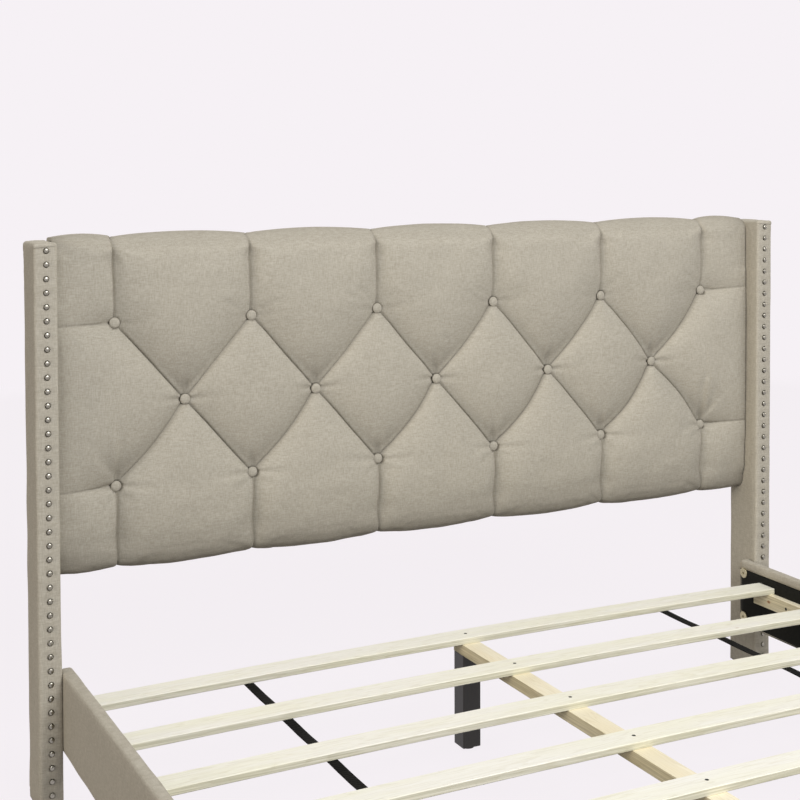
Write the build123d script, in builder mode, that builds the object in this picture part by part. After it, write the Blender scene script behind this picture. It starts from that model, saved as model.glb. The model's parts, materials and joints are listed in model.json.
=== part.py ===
from build123d import *
import os

# Wingback bed for a 76 x 80 inch mattress: diamond-tufted headboard between two upholstered
# wings, padded side rails, low padded footboard and a pine slat base.
# +Y points to the headboard, +X to the right for someone at the foot, +Z up. The origin is on
# the floor under the centre of the bed.

os.makedirs("parts", exist_ok=True)

# Driving sizes, in millimetres
mattress_width = 1930
mattress_length = 2032
mattress_side_gap = 11
mattress_head_gap = 5
mattress_foot_gap = 10
fit_gap = 0.3
thread_gap = 0.1
cut_overrun = 1
glide_height = 4

# Wings
wing_thickness = 55
wing_depth = 118
wing_height = 1310
wing_padding = 5
wing_edge_radius = 4
nail_pitch = 32
nail_top_margin = 19
nail_radius = 7.5
nail_dome = 3.6
nail_shank_radius = 1.1
nail_shank_length = 16

# Headboard panel
panel_bottom = 530
panel_height = 785
button_row_pitch = 194
button_row_drop = 6
button_pitch = 343
upper_button_count = 6
batten_thickness = 20
batten_width = 60
inner_stile_share = 0.75
board_thickness = 15
board_inset = 12
foam_at_button = 6
foam_at_crease = 21
foam_at_crown = 44
scallop = 10
pad_back_draw = 9
button_radius = 12.5
button_dome = 6
button_rim = 3.5
button_shank_radius = 1.8
pit_radius = 14.5
pit_mouth_radius = 40
washer_radius = 13
washer_thickness = 1.6
wrap_thickness = 3.5
cloth_thickness = 1.2

# Side rails
rail_bottom = 134
rail_height = 190
rail_board_thickness = 22
rail_padding = 5
rail_skin = 1.7
rail_crown = 9
rail_flap = 25
rail_outer_radius = 14
rail_inner_radius = 8
rail_head_overlap = 35
rail_foot_gap = 5

# Cleats, slats and webbing
cleat_width = 20
cleat_height = 40
cleat_head_setback = 85
cleat_foot_setback = 60
cleat_edge_radius = 1.5
slat_count = 8
slat_width = 65.5
slat_thickness = 16
slat_foot_margin = 126.5
slat_camber = 10
slat_end_gap = 1
slat_depth_below_rail_top = 63
slat_edge_chamfer = 1.5
strap_width = 24
strap_thickness = 1.5
strap_offset = 596

# Centre beam and its legs
beam_width = 50
beam_height = 28
beam_head_setback = 17
beam_foot_gap = 25
leg_side = 50
leg_count = 3
leg_edge_radius = 3
leveller_radius = 17
leveller_pad = 6
leveller_stem_radius = 4
leveller_stem_length = 30

# Footboard and foot posts
foot_padding = 20
foot_board_thickness = 22
foot_crown_radius = 12
foot_post_depth = 75
foot_post_padding = 4
post_bolt_shares = (0.32, 0.68)

# Fasteners
bolt_radius = 4
bolt_head_radius = 14
bolt_head_thickness = 3.5
bolt_socket_radius = 3.4
bolt_spacing = 127
bolt_end_distance = 19
bolt_bottom_distance = 27
bolt_bite = 26
nut_radius = 7
nut_length = 22
panel_bolt_radius = 3
panel_bolt_head_radius = 7
panel_nut_radius = 5
panel_nut_length = 16
screw_radius = 2
screw_head_radius = 4.2
screw_head_depth = 2.6
cleat_screw_length = 34
cleat_screw_count = 7
slat_screw_length = 36
staple_width = 12
staple_wire = 0.9
staple_leg = 8

# Places that follow from the sizes above
rail_thickness = rail_padding + rail_board_thickness + rail_skin
inner_half_width = mattress_width / 2 + mattress_side_gap + rail_thickness + fit_gap
wing_centre_x = inner_half_width + wing_thickness / 2
outer_half_width = inner_half_width + wing_thickness
panel_depth = batten_thickness + board_thickness + foam_at_crown
footboard_thickness = foot_padding + foot_board_thickness + rail_skin + 2 * fit_gap
bed_length = panel_depth + mattress_head_gap + mattress_length + mattress_foot_gap + footboard_thickness
head_y = bed_length / 2
foot_y = -bed_length / 2
wing_front_y = head_y - wing_depth
wing_centre_y = head_y - wing_depth / 2
board_front_y = head_y - batten_thickness - board_thickness
panel_top = panel_bottom + panel_height
panel_middle = panel_bottom + panel_height / 2
pad_half_width = inner_half_width - fit_gap
rail_top = rail_bottom + rail_height
rail_inner_x = inner_half_width - fit_gap - rail_thickness
rail_head_y = wing_front_y + rail_head_overlap
footboard_back_y = foot_y + footboard_thickness
rail_foot_y = footboard_back_y + rail_foot_gap
rail_length = rail_head_y - rail_foot_y
rail_middle_y = (rail_head_y + rail_foot_y) / 2
slat_top = rail_top - slat_depth_below_rail_top + slat_thickness
slat_bottom = slat_top - slat_thickness
cleat_top = slat_bottom
cleat_face_x = rail_inner_x - cleat_width
cleat_length = rail_length - cleat_head_setback - cleat_foot_setback
cleat_middle_y = rail_middle_y - (cleat_head_setback - cleat_foot_setback) / 2
first_slat_y = rail_head_y - cleat_head_setback - slat_width / 2
last_slat_y = rail_foot_y + cleat_foot_setback + slat_foot_margin + slat_width / 2
slat_pitch = (first_slat_y - last_slat_y) / (slat_count - 1)
beam_top = slat_bottom + slat_camber - fit_gap
beam_bottom = beam_top - beam_height
beam_head_y = rail_head_y - cleat_head_setback - beam_head_setback
beam_foot_y = footboard_back_y + beam_foot_gap
sides = (("left", -1), ("right", 1))

# Looking at the headboard from the foot: local x is +X, local y is +Z, local z comes forward
panel_face = Plane(origin=(0, board_front_y, 0), x_dir=(1, 0, 0), z_dir=(0, -1, 0))
wing_face = Plane(origin=(0, wing_front_y, 0), x_dir=(1, 0, 0), z_dir=(0, -1, 0))
ground = Plane.XY


def save(piece, name):
    piece.part.label = name
    export_step(piece.part, f"parts/{name}.step")


def side_plane(side, x):
    # a plane across the bed at x on the given side, facing inwards: local x is Y, local y is Z
    return Plane(origin=(side * x, 0, 0), x_dir=(0, side * -1, 0), z_dir=(-side, 0, 0))


def on_side(side, places):
    # (y, z) places written in the local axes of side_plane
    return [(-side * y, z) for y, z in places]


def box_between(low, high, mode=Mode.ADD):
    size = [b - a for a, b in zip(low, high)]
    middle = tuple((a + b) / 2 for a, b in zip(low, high))
    with Locations(middle):
        Box(*size, mode=mode)


# Bolt, nail and screw places
wing_nail_count = int((wing_height - nail_top_margin - nail_radius - glide_height) // nail_pitch) + 1
nail_heights = [wing_height - nail_top_margin - i * nail_pitch for i in range(wing_nail_count)]
rail_bolt_heights = [rail_bottom + bolt_bottom_distance + i * bolt_spacing for i in range(2)]
head_bolt_places = [(rail_head_y - bolt_end_distance, z) for z in rail_bolt_heights]
foot_bolt_places = [(rail_foot_y + bolt_end_distance, z) for z in rail_bolt_heights]
post_bolt_heights = [rail_bottom + rail_height * share for share in post_bolt_shares]
post_bolt_points = [(step * wing_centre_x, z) for step in (-1, 1) for z in post_bolt_heights]
panel_bolt_y = head_y - cloth_thickness - fit_gap - batten_thickness / 2
panel_bolt_heights = [panel_middle + step * button_row_pitch for step in (-1, 0, 1)]
panel_bolt_places = [(panel_bolt_y, z) for z in panel_bolt_heights]
cleat_screw_pitch = cleat_length / cleat_screw_count
cleat_screw_z = cleat_top - cleat_height / 2
cleat_screw_ys = [cleat_middle_y + (i - (cleat_screw_count - 1) / 2) * cleat_screw_pitch
                  for i in range(cleat_screw_count)]
slat_ys = [first_slat_y - i * slat_pitch for i in range(slat_count)]

# Buttons in the headboard, as (x, z): six, five and six
upper_xs = [(i - (upper_button_count - 1) / 2) * button_pitch for i in range(upper_button_count)]
middle_xs = [x + button_pitch / 2 for x in upper_xs[:-1]]
middle_z = panel_middle - button_row_drop
upper_z = middle_z + button_row_pitch
lower_z = middle_z - button_row_pitch
button_places = ([(x, upper_z) for x in upper_xs] + [(x, middle_z) for x in middle_xs]
                 + [(x, lower_z) for x in upper_xs])

# Headboard board: plywood with a hole for each button's shank
with BuildPart() as headboard_board:
    with BuildSketch(panel_face.offset(-board_thickness)):
        with Locations((0, panel_middle)):
            Rectangle(2 * (pad_half_width - board_inset), panel_height - 2 * board_inset)
    extrude(amount=board_thickness)
    with Locations(panel_face):
        with Locations(*button_places):
            Hole(button_shank_radius + fit_gap)
save(headboard_board, "headboard_board")

# Timber frame behind the board: two long rails and four stiles
batten_back_y = head_y - cloth_thickness - fit_gap
batten_front_y = board_front_y + board_thickness
frame_half_width = pad_half_width - board_inset
frame_bottom = panel_bottom + board_inset
frame_top = panel_top - board_inset
stile_xs = [step * (frame_half_width - batten_width / 2) for step in (-1, 1)]
inner_stile_xs = [step * button_pitch * inner_stile_share for step in (-1, 1)]

with BuildPart() as headboard_rails:
    for z in (frame_bottom, frame_top - batten_width):
        box_between((-frame_half_width, batten_front_y, z),
                    (frame_half_width, batten_back_y, z + batten_width))
save(headboard_rails, "headboard_frame_rails")

with BuildPart() as headboard_stiles:
    for x in stile_xs + inner_stile_xs:
        box_between((x - batten_width / 2, batten_front_y, frame_bottom + batten_width),
                    (x + batten_width / 2, batten_back_y, frame_top - batten_width))
    for side_name, side in sides:
        with Locations(side_plane(side, frame_half_width)):
            with Locations(*on_side(side, panel_bolt_places)):
                Cylinder(panel_bolt_radius + fit_gap, 2 * batten_width + cut_overrun,
                         mode=Mode.SUBTRACT)
save(headboard_stiles, "headboard_frame_stiles")

# Strip of cover fabric that wraps the edges of the board and the frame
with BuildPart() as headboard_wrap:
    wrap_out = wrap_thickness + fit_gap
    box_between((-frame_half_width - wrap_out, board_front_y, frame_bottom - wrap_out),
                (frame_half_width + wrap_out, batten_back_y, frame_top + wrap_out))
    box_between((-frame_half_width - fit_gap, board_front_y - cut_overrun, frame_bottom - fit_gap),
                (frame_half_width + fit_gap, batten_back_y + cut_overrun, frame_top + fit_gap),
                mode=Mode.SUBTRACT)
    for side_name, side in sides:
        with Locations(side_plane(side, frame_half_width)):
            with Locations(*on_side(side, panel_bolt_places)):
                Cylinder(panel_bolt_radius + fit_gap, 2 * board_inset, mode=Mode.SUBTRACT)
save(headboard_wrap, "headboard_edge_wrap")

with BuildPart() as headboard_back_cloth:
    box_between((-frame_half_width, batten_back_y + fit_gap, frame_bottom),
                (frame_half_width, batten_back_y + fit_gap + cloth_thickness, frame_top))
save(headboard_back_cloth, "headboard_back_cloth")

# Tufted pad. Each cell between the sewn creases is a crowned pillow on one scalloped slab.
crease_edges = [-pad_half_width] + upper_xs + [pad_half_width]
pillow_scale_shares = (1, 0.9, 0.66, 0.3)
pillow_height_shares = (0, 0.58, 0.92, 1)
corner_scallop_share = 0.5


def scallop_height(left, right):
    # a full-width cell bulges by the whole scallop, the narrow corner cells by less
    return scallop * min(1, (right - left) / button_pitch) ** corner_scallop_share


def cell_section(plane, corners, bulged_edges, scale):
    # closed outline of a cell drawn in about its middle, with arcs where the pad is scalloped
    centre_x = sum(p[0] for p in corners) / len(corners)
    centre_z = sum(p[1] for p in corners) / len(corners)
    ring = [(centre_x + (x - centre_x) * scale, centre_z + (z - centre_z) * scale)
            for x, z in corners]
    with BuildSketch(plane) as section:
        with BuildLine():
            for i, start in enumerate(ring):
                end = ring[(i + 1) % len(ring)]
                if i in bulged_edges:
                    top = (start[1] + end[1]) / 2 + bulged_edges[i] * scale
                    ThreePointArc(start, ((start[0] + end[0]) / 2, top), end)
                else:
                    Line(start, end)
        make_face()
    return section.sketch


def scalloped_outline(plane, inset):
    # outline of the whole pad: straight sides, one arc per cell along the top and the bottom
    top, bottom = panel_top - inset, panel_bottom + inset
    xs = [max(-pad_half_width + inset, min(pad_half_width - inset, x)) for x in crease_edges]
    with BuildSketch(plane) as outline:
        with BuildLine():
            for z, sign in ((top, 1), (bottom, -1)):
                for a, b in zip(xs[:-1], xs[1:]):
                    ThreePointArc((a, z), ((a + b) / 2, z + sign * scallop_height(a, b)), (b, z))
            Line((xs[0], bottom), (xs[0], top))
            Line((xs[-1], bottom), (xs[-1], top))
        make_face()
    return outline.sketch


def pad_cells():
    # corner points of every cell, with the edges that carry a scallop and its rise
    cells = []
    for edge_z, row_z, sign in ((panel_top, upper_z, 1), (panel_bottom, lower_z, -1)):
        for i, (a, b) in enumerate(zip(crease_edges[:-1], crease_edges[1:])):
            corners = [(a, row_z), (a, edge_z), (b, edge_z), (b, row_z)]
            if 0 < i < upper_button_count:
                corners.append((middle_xs[i - 1], middle_z))
            cells.append((corners, {1: sign * scallop_height(a, b)}))
    for i in range(1, upper_button_count - 1):
        cells.append(([(middle_xs[i - 1], middle_z), (upper_xs[i], upper_z),
                       (middle_xs[i], middle_z), (upper_xs[i], lower_z)], {}))
    for sign in (-1, 1):
        edge, near, deep = sign * pad_half_width, sign * upper_xs[-1], sign * middle_xs[-1]
        cells.append(([(edge, lower_z), (edge, upper_z), (near, upper_z), (deep, middle_z),
                       (near, lower_z)], {}))
    return cells


with BuildPart() as headboard_pad:
    slab_levels = ((fit_gap, pad_back_draw), (foam_at_button, 0), (foam_at_crease, 0))
    loft([scalloped_outline(panel_face.offset(level), inset) for level, inset in slab_levels],
         ruled=True)
    crown_rise = foam_at_crown - foam_at_crease
    for corners, bulged_edges in pad_cells():
        loft([cell_section(panel_face.offset(foam_at_crease + height * crown_rise),
                           corners, bulged_edges, scale)
              for scale, height in zip(pillow_scale_shares, pillow_height_shares)])
    with Locations(panel_face.offset(foam_at_button)):
        with Locations(*button_places):
            Cone(pit_radius, pit_mouth_radius, foam_at_crown - foam_at_button + cut_overrun,
                 align=(Align.CENTER, Align.CENTER, Align.MIN), mode=Mode.SUBTRACT)
            Cylinder(button_shank_radius + fit_gap, 2 * foam_at_crown, mode=Mode.SUBTRACT)
save(headboard_pad, "headboard_tufted_pad")

# Fabric-covered buttons, each with its shank through the pad and the board
button_seat = foam_at_button + fit_gap
shank_length = button_seat + board_thickness + washer_thickness + 2 * fit_gap
with BuildPart() as button:
    cap_radius = (button_radius ** 2 + button_dome ** 2) / (2 * button_dome)
    with Locations((0, 0, button_rim + button_dome - cap_radius)):
        Sphere(cap_radius)
    split(bisect_by=ground.offset(button_rim), keep=Keep.TOP)
    Cylinder(button_radius, button_rim, align=(Align.CENTER, Align.CENTER, Align.MIN))
    Cylinder(button_shank_radius, shank_length, align=(Align.CENTER, Align.CENTER, Align.MAX))

with BuildPart() as headboard_buttons:
    with Locations(panel_face.offset(button_seat)):
        with Locations(*button_places):
            add(button.part)
save(headboard_buttons, "headboard_buttons")

with BuildPart() as button_washers:
    with Locations(panel_face.offset(-board_thickness - fit_gap)):
        with Locations(*button_places):
            Cylinder(washer_radius, washer_thickness, align=(Align.CENTER, Align.CENTER, Align.MAX))
            Cylinder(button_shank_radius + fit_gap, 4 * washer_thickness, mode=Mode.SUBTRACT)
save(button_washers, "button_washers")


# Furniture bolt with a wide flat head and a hex socket, pointing down its own -Z
def bolt_shape(radius, head_radius, length):
    with BuildPart() as bolt:
        Cylinder(radius, length, align=(Align.CENTER, Align.CENTER, Align.MAX))
        Cylinder(head_radius, bolt_head_thickness, align=(Align.CENTER, Align.CENTER, Align.MIN))
        fillet(bolt.edges().group_by(Axis.Z)[-1], bolt_head_thickness / 3)
        with BuildSketch(Plane.XY.offset(bolt_head_thickness)):
            RegularPolygon(radius * bolt_socket_radius / bolt_radius, 6)
        extrude(amount=-bolt_head_thickness, mode=Mode.SUBTRACT)
    return bolt.part


def threaded_insert(radius, hole_radius, length):
    with BuildPart() as insert:
        Cylinder(radius, length, align=(Align.CENTER, Align.CENTER, Align.MAX))
        Hole(hole_radius + fit_gap)
    return insert.part


rail_bolt_length = rail_thickness + 2 * fit_gap + wing_padding + bolt_bite
rail_bolt = bolt_shape(bolt_radius, bolt_head_radius, rail_bolt_length)
rail_insert = threaded_insert(nut_radius, bolt_radius, nut_length)
panel_bolt_head_x = frame_half_width - batten_width
panel_bolt_length = batten_width + board_inset + 2 * fit_gap + wing_padding + panel_nut_length
panel_bolt = bolt_shape(panel_bolt_radius, panel_bolt_head_radius, panel_bolt_length)
panel_insert = threaded_insert(panel_nut_radius, panel_bolt_radius, panel_nut_length)

for end_name, places in (("head", head_bolt_places), ("foot", foot_bolt_places)):
    with BuildPart() as rail_bolts:
        for side_name, side in sides:
            with Locations(side_plane(side, rail_inner_x)):
                with Locations(*on_side(side, places)):
                    add(rail_bolt)
    save(rail_bolts, f"{end_name}_rail_bolts")

with BuildPart() as rail_inserts:
    for side_name, side in sides:
        with Locations(side_plane(side, inner_half_width + wing_padding)):
            with Locations(*on_side(side, head_bolt_places + foot_bolt_places)):
                add(rail_insert)
save(rail_inserts, "rail_bolt_inserts")

with BuildPart() as panel_bolts:
    for side_name, side in sides:
        with Locations(side_plane(side, panel_bolt_head_x)):
            with Locations(*on_side(side, panel_bolt_places)):
                add(panel_bolt)
save(panel_bolts, "headboard_bolts")

with BuildPart() as panel_inserts:
    for side_name, side in sides:
        with Locations(side_plane(side, inner_half_width + wing_padding)):
            with Locations(*on_side(side, panel_bolt_places)):
                add(panel_insert)
save(panel_inserts, "headboard_bolt_inserts")

# One domed upholstery nail with its shank
with BuildPart() as nail:
    cap_radius = (nail_radius ** 2 + nail_dome ** 2) / (2 * nail_dome)
    with Locations((0, 0, nail_dome - cap_radius)):
        Sphere(cap_radius)
    split(bisect_by=ground, keep=Keep.TOP)
    Cylinder(nail_shank_radius, nail_shank_length, align=(Align.CENTER, Align.CENTER, Align.MAX))

# Wings: a timber core down to the floor, its padded fabric cover, a line of nails and a glide
core_top = wing_height - wing_padding - fit_gap
core_half_thickness = wing_thickness / 2 - wing_padding - fit_gap
core_half_depth = wing_depth / 2 - wing_padding - fit_gap

for side_name, side in sides:
    centre_x = side * wing_centre_x
    nail_places = [(centre_x, z) for z in nail_heights]

    with BuildPart() as wing_core:
        box_between((centre_x - core_half_thickness, wing_centre_y - core_half_depth, glide_height),
                    (centre_x + core_half_thickness, wing_centre_y + core_half_depth, core_top))
        with Locations(side_plane(side, inner_half_width + wing_padding)):
            with Locations(*on_side(side, head_bolt_places)):
                Cylinder(nut_radius + fit_gap, 2 * (bolt_bite + cut_overrun), mode=Mode.SUBTRACT)
            with Locations(*on_side(side, panel_bolt_places)):
                Cylinder(panel_nut_radius + fit_gap, 2 * (panel_nut_length + cut_overrun),
                         mode=Mode.SUBTRACT)
        with Locations(wing_face):
            with Locations(*nail_places):
                Cylinder(nail_shank_radius + thread_gap, 2 * nail_shank_length,
                         mode=Mode.SUBTRACT)
    save(wing_core, f"{side_name}_wing_core")

    with BuildPart() as wing_cover:
        with BuildSketch(ground.offset(glide_height)):
            with Locations((centre_x, wing_centre_y)):
                Rectangle(wing_thickness, wing_depth)
        extrude(amount=wing_height - glide_height)
        fillet(wing_cover.edges().filter_by(Axis.Z), wing_edge_radius)
        fillet(wing_cover.edges().group_by(Axis.Z)[-1], wing_edge_radius)
        box_between((centre_x - core_half_thickness - fit_gap,
                     wing_centre_y - core_half_depth - fit_gap, glide_height - cut_overrun),
                    (centre_x + core_half_thickness + fit_gap,
                     wing_centre_y + core_half_depth + fit_gap, core_top + fit_gap),
                    mode=Mode.SUBTRACT)
        with Locations(side_plane(side, inner_half_width)):
            with Locations(*on_side(side, head_bolt_places)):
                Cylinder(bolt_radius + fit_gap, 3 * wing_padding, mode=Mode.SUBTRACT)
            with Locations(*on_side(side, panel_bolt_places)):
                Cylinder(panel_bolt_radius + fit_gap, 3 * wing_padding, mode=Mode.SUBTRACT)
        with Locations(wing_face):
            with Locations(*nail_places):
                Cylinder(nail_shank_radius + thread_gap, 3 * wing_padding, mode=Mode.SUBTRACT)
    save(wing_cover, f"{side_name}_wing_cover")

    with BuildPart() as wing_nails:
        with Locations(wing_face):
            with Locations(*nail_places):
                add(nail.part)
    save(wing_nails, f"{side_name}_wing_nailheads")

    with BuildPart() as wing_glide:
        box_between((centre_x - core_half_thickness, wing_centre_y - core_half_depth, 0),
                    (centre_x + core_half_thickness, wing_centre_y + core_half_depth, glide_height))
        fillet(wing_glide.edges().filter_by(Axis.Z), wing_edge_radius)
        chamfer(wing_glide.edges().group_by(Axis.Z)[0], glide_height / 4)
    save(wing_glide, f"{side_name}_wing_glide")

# One wood screw, pointing down its own -Z with its head flush at zero
def screw_shape(length):
    with BuildPart() as screw:
        Cylinder(screw_radius, length, align=(Align.CENTER, Align.CENTER, Align.MAX))
        Cone(screw_radius, screw_head_radius, screw_head_depth,
             align=(Align.CENTER, Align.CENTER, Align.MAX))
    return screw.part


def screw_hole(length):
    Cylinder(screw_radius + thread_gap, length + thread_gap,
             align=(Align.CENTER, Align.CENTER, Align.MAX), mode=Mode.SUBTRACT)
    Cone(screw_radius + thread_gap, screw_head_radius + thread_gap, screw_head_depth + thread_gap,
         align=(Align.CENTER, Align.CENTER, Align.MAX), mode=Mode.SUBTRACT)


# Side rails: a board, a padded cover over its top and outer face, black cloth inside, a pine cleat
rail_outer_x = inner_half_width - fit_gap
board_outer_x = rail_outer_x - rail_padding
board_inner_x = board_outer_x - rail_board_thickness + 2 * fit_gap
rail_board_bottom = rail_bottom + rail_skin + fit_gap
rail_board_top = rail_top - rail_crown - fit_gap
flap_bottom = rail_top - rail_flap
rail_bolt_places = head_bolt_places + foot_bolt_places
cleat_screw_places = [(y, cleat_screw_z) for y in cleat_screw_ys]

for side_name, side in sides:
    with BuildPart() as rail_board:
        box_between(sorted((side * board_inner_x, side * board_outer_x))[:1]
                    + [rail_foot_y + rail_skin + fit_gap, rail_board_bottom],
                    sorted((side * board_inner_x, side * board_outer_x))[1:]
                    + [rail_head_y - rail_skin - fit_gap, rail_board_top])
        with Locations(side_plane(side, rail_inner_x)):
            with Locations(*on_side(side, rail_bolt_places)):
                Cylinder(bolt_radius + fit_gap, 3 * rail_thickness, mode=Mode.SUBTRACT)
        with Locations(side_plane(side, cleat_face_x)):
            with Locations(*on_side(side, cleat_screw_places)):
                screw_hole(cleat_screw_length)
    save(rail_board, f"{side_name}_rail_board")

    with BuildPart() as rail_cover:
        with BuildSketch(Plane.XZ.offset(-rail_head_y)):
            with BuildLine():
                Polyline((side * rail_inner_x, rail_top - rail_inner_radius),
                         (side * rail_inner_x, rail_bottom), (side * rail_outer_x, rail_bottom),
                         (side * rail_outer_x, rail_top - rail_outer_radius))
                RadiusArc((side * rail_outer_x, rail_top - rail_outer_radius),
                          (side * (rail_outer_x - rail_outer_radius), rail_top),
                          -side * rail_outer_radius)
                Line((side * (rail_outer_x - rail_outer_radius), rail_top),
                     (side * (rail_inner_x + rail_inner_radius), rail_top))
                RadiusArc((side * (rail_inner_x + rail_inner_radius), rail_top),
                          (side * rail_inner_x, rail_top - rail_inner_radius),
                          -side * rail_inner_radius)
            make_face()
        extrude(amount=rail_length)
        with BuildSketch(Plane.XZ.offset(-rail_head_y + rail_skin)):
            with Locations((side * (board_inner_x + board_outer_x) / 2,
                            (rail_board_bottom + rail_board_top) / 2)):
                Rectangle(board_outer_x - board_inner_x + 2 * fit_gap,
                          rail_board_top - rail_board_bottom + 2 * fit_gap)
        extrude(amount=rail_length - 2 * rail_skin, mode=Mode.SUBTRACT)
        with BuildSketch(Plane.XZ.offset(-rail_head_y + rail_skin)):
            with Locations((side * rail_inner_x, (rail_board_bottom + flap_bottom) / 2)):
                Rectangle(4 * rail_skin, flap_bottom - rail_board_bottom)
        extrude(amount=rail_length - 2 * rail_skin, mode=Mode.SUBTRACT)
        with Locations(side_plane(side, rail_inner_x)):
            with Locations(*on_side(side, rail_bolt_places)):
                Cylinder(bolt_radius + fit_gap, 3 * rail_thickness, mode=Mode.SUBTRACT)
    save(rail_cover, f"{side_name}_rail_cover")

    with BuildPart() as rail_cloth:
        cloth_xs = sorted((side * (rail_inner_x + fit_gap), side * (board_inner_x - fit_gap)))
        box_between((cloth_xs[0], rail_foot_y + rail_skin + fit_gap, rail_board_bottom + fit_gap),
                    (cloth_xs[1], rail_head_y - rail_skin - fit_gap, flap_bottom - fit_gap))
        with Locations(side_plane(side, rail_inner_x)):
            with Locations(*on_side(side, rail_bolt_places)):
                Cylinder(bolt_radius + fit_gap, 3 * rail_thickness, mode=Mode.SUBTRACT)
            with Locations(*on_side(side, cleat_screw_places)):
                Cylinder(screw_radius + fit_gap, 3 * rail_thickness, mode=Mode.SUBTRACT)
    save(rail_cloth, f"{side_name}_rail_inner_cloth")

    with BuildPart() as cleat:
        cleat_xs = sorted((side * cleat_face_x, side * rail_inner_x))
        box_between((cleat_xs[0], cleat_middle_y - cleat_length / 2, cleat_top - cleat_height),
                    (cleat_xs[1], cleat_middle_y + cleat_length / 2, cleat_top))
        fillet(cleat.edges().filter_by(Axis.Y), cleat_edge_radius)
        with Locations(side_plane(side, cleat_face_x)):
            with Locations(*on_side(side, cleat_screw_places)):
                screw_hole(cleat_screw_length)
    save(cleat, f"{side_name}_cleat")

    with BuildPart() as cleat_screws:
        with Locations(side_plane(side, cleat_face_x)):
            with Locations(*on_side(side, cleat_screw_places)):
                add(screw_shape(cleat_screw_length))
    save(cleat_screws, f"{side_name}_cleat_screws")

# Slats: pine boards bowed up over the centre beam, screwed to it and stapled to the webbing
slat_half_length = rail_inner_x - slat_end_gap
strap_rise = slat_camber * (1 - (strap_offset / slat_half_length) ** 2)
strap_top = slat_bottom + strap_rise - fit_gap
staple_leg_offset = staple_width / 2 - staple_wire / 2


def slat_arc(z):
    ThreePointArc((-slat_half_length, z), (0, z + slat_camber), (slat_half_length, z))


def staple_legs(y, radius, top):
    for x in (-strap_offset, strap_offset):
        for step in (-1, 1):
            with Locations((x + step * staple_leg_offset, y, top)):
                Cylinder(radius, staple_leg, align=(Align.CENTER, Align.CENTER, Align.MIN),
                         mode=Mode.SUBTRACT)


staple_crown_z = strap_top - strap_thickness - staple_wire
for number, y in enumerate(slat_ys, start=1):
    with BuildPart() as slat:
        with BuildSketch(Plane.XZ.offset(-y - slat_width / 2)):
            with BuildLine():
                slat_arc(slat_bottom)
                slat_arc(slat_top)
                for x in (-slat_half_length, slat_half_length):
                    Line((x, slat_bottom), (x, slat_top))
            make_face()
        extrude(amount=slat_width)
        chamfer(slat.edges().filter_by(GeomType.CIRCLE), slat_edge_chamfer)
        with Locations((0, y, slat_top + slat_camber)):
            screw_hole(slat_screw_length)
        staple_legs(y, staple_wire / 2 + thread_gap, staple_crown_z)
    save(slat, f"slat_{number}")

with BuildPart() as slat_screws:
    with Locations(*[(0, y, slat_top + slat_camber) for y in slat_ys]):
        add(screw_shape(slat_screw_length))
save(slat_screws, "slat_screws")

for side_name, side in sides:
    with BuildPart() as strap:
        box_between((side * strap_offset - strap_width / 2, slat_ys[-1] - slat_width / 2,
                     strap_top - strap_thickness),
                    (side * strap_offset + strap_width / 2, slat_ys[0] + slat_width / 2, strap_top))
        for y in slat_ys:
            staple_legs(y, staple_wire / 2 + thread_gap, staple_crown_z)
    save(strap, f"{side_name}_slat_webbing")

with BuildPart() as staples:
    for y in slat_ys:
        for x in (-strap_offset, strap_offset):
            with Locations((x, y, staple_crown_z + staple_wire / 2)):
                Box(staple_width, staple_wire, staple_wire)
            for step in (-1, 1):
                with Locations((x + step * staple_leg_offset, y, staple_crown_z)):
                    Cylinder(staple_wire / 2, staple_leg,
                             align=(Align.CENTER, Align.CENTER, Align.MIN))
save(staples, "webbing_staples")

# Centre beam on its own legs, the first one flush with the beam's head end
leg_top = beam_bottom
leg_ys = [beam_head_y - leg_side / 2
          - i * (beam_head_y - beam_foot_y - leg_side) / (leg_count - 1) for i in range(leg_count)]
leg_places = [(0, y) for y in leg_ys]
stud_length = beam_height

with BuildPart() as beam:
    box_between((-beam_width / 2, beam_foot_y, beam_bottom), (beam_width / 2, beam_head_y, beam_top))
    fillet(beam.edges().filter_by(Axis.Y), cleat_edge_radius)
    with Locations(*[(0, y, slat_top + slat_camber) for y in slat_ys]):
        Cylinder(screw_radius + thread_gap, slat_screw_length + thread_gap,
                 align=(Align.CENTER, Align.CENTER, Align.MAX), mode=Mode.SUBTRACT)
    with Locations(ground.offset(leg_top)):
        with Locations(*leg_places):
            Cylinder(bolt_radius + thread_gap, stud_length, mode=Mode.SUBTRACT)
save(beam, "centre_beam")

leg_names = ("head", "middle", "foot")
for number, place in enumerate(leg_places):
    with BuildPart() as leg:
        with BuildSketch(ground.offset(leveller_pad + fit_gap)):
            with Locations(place):
                Rectangle(leg_side, leg_side)
        extrude(amount=leg_top - leveller_pad - fit_gap)
        fillet(leg.edges().filter_by(Axis.Z), leg_edge_radius)
        with Locations(ground.offset(leg_top)):
            with Locations(place):
                Cylinder(bolt_radius + thread_gap, stud_length, mode=Mode.SUBTRACT)
        with Locations(ground):
            with Locations(place):
                Cylinder(leveller_stem_radius + thread_gap,
                         2 * (leveller_pad + leveller_stem_length + fit_gap), mode=Mode.SUBTRACT)
    save(leg, f"centre_leg_{leg_names[number] if number < len(leg_names) else number}")

with BuildPart() as leg_studs:
    with Locations(ground.offset(leg_top)):
        with Locations(*leg_places):
            Cylinder(bolt_radius, stud_length - 2 * fit_gap)
save(leg_studs, "centre_leg_studs")

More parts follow.
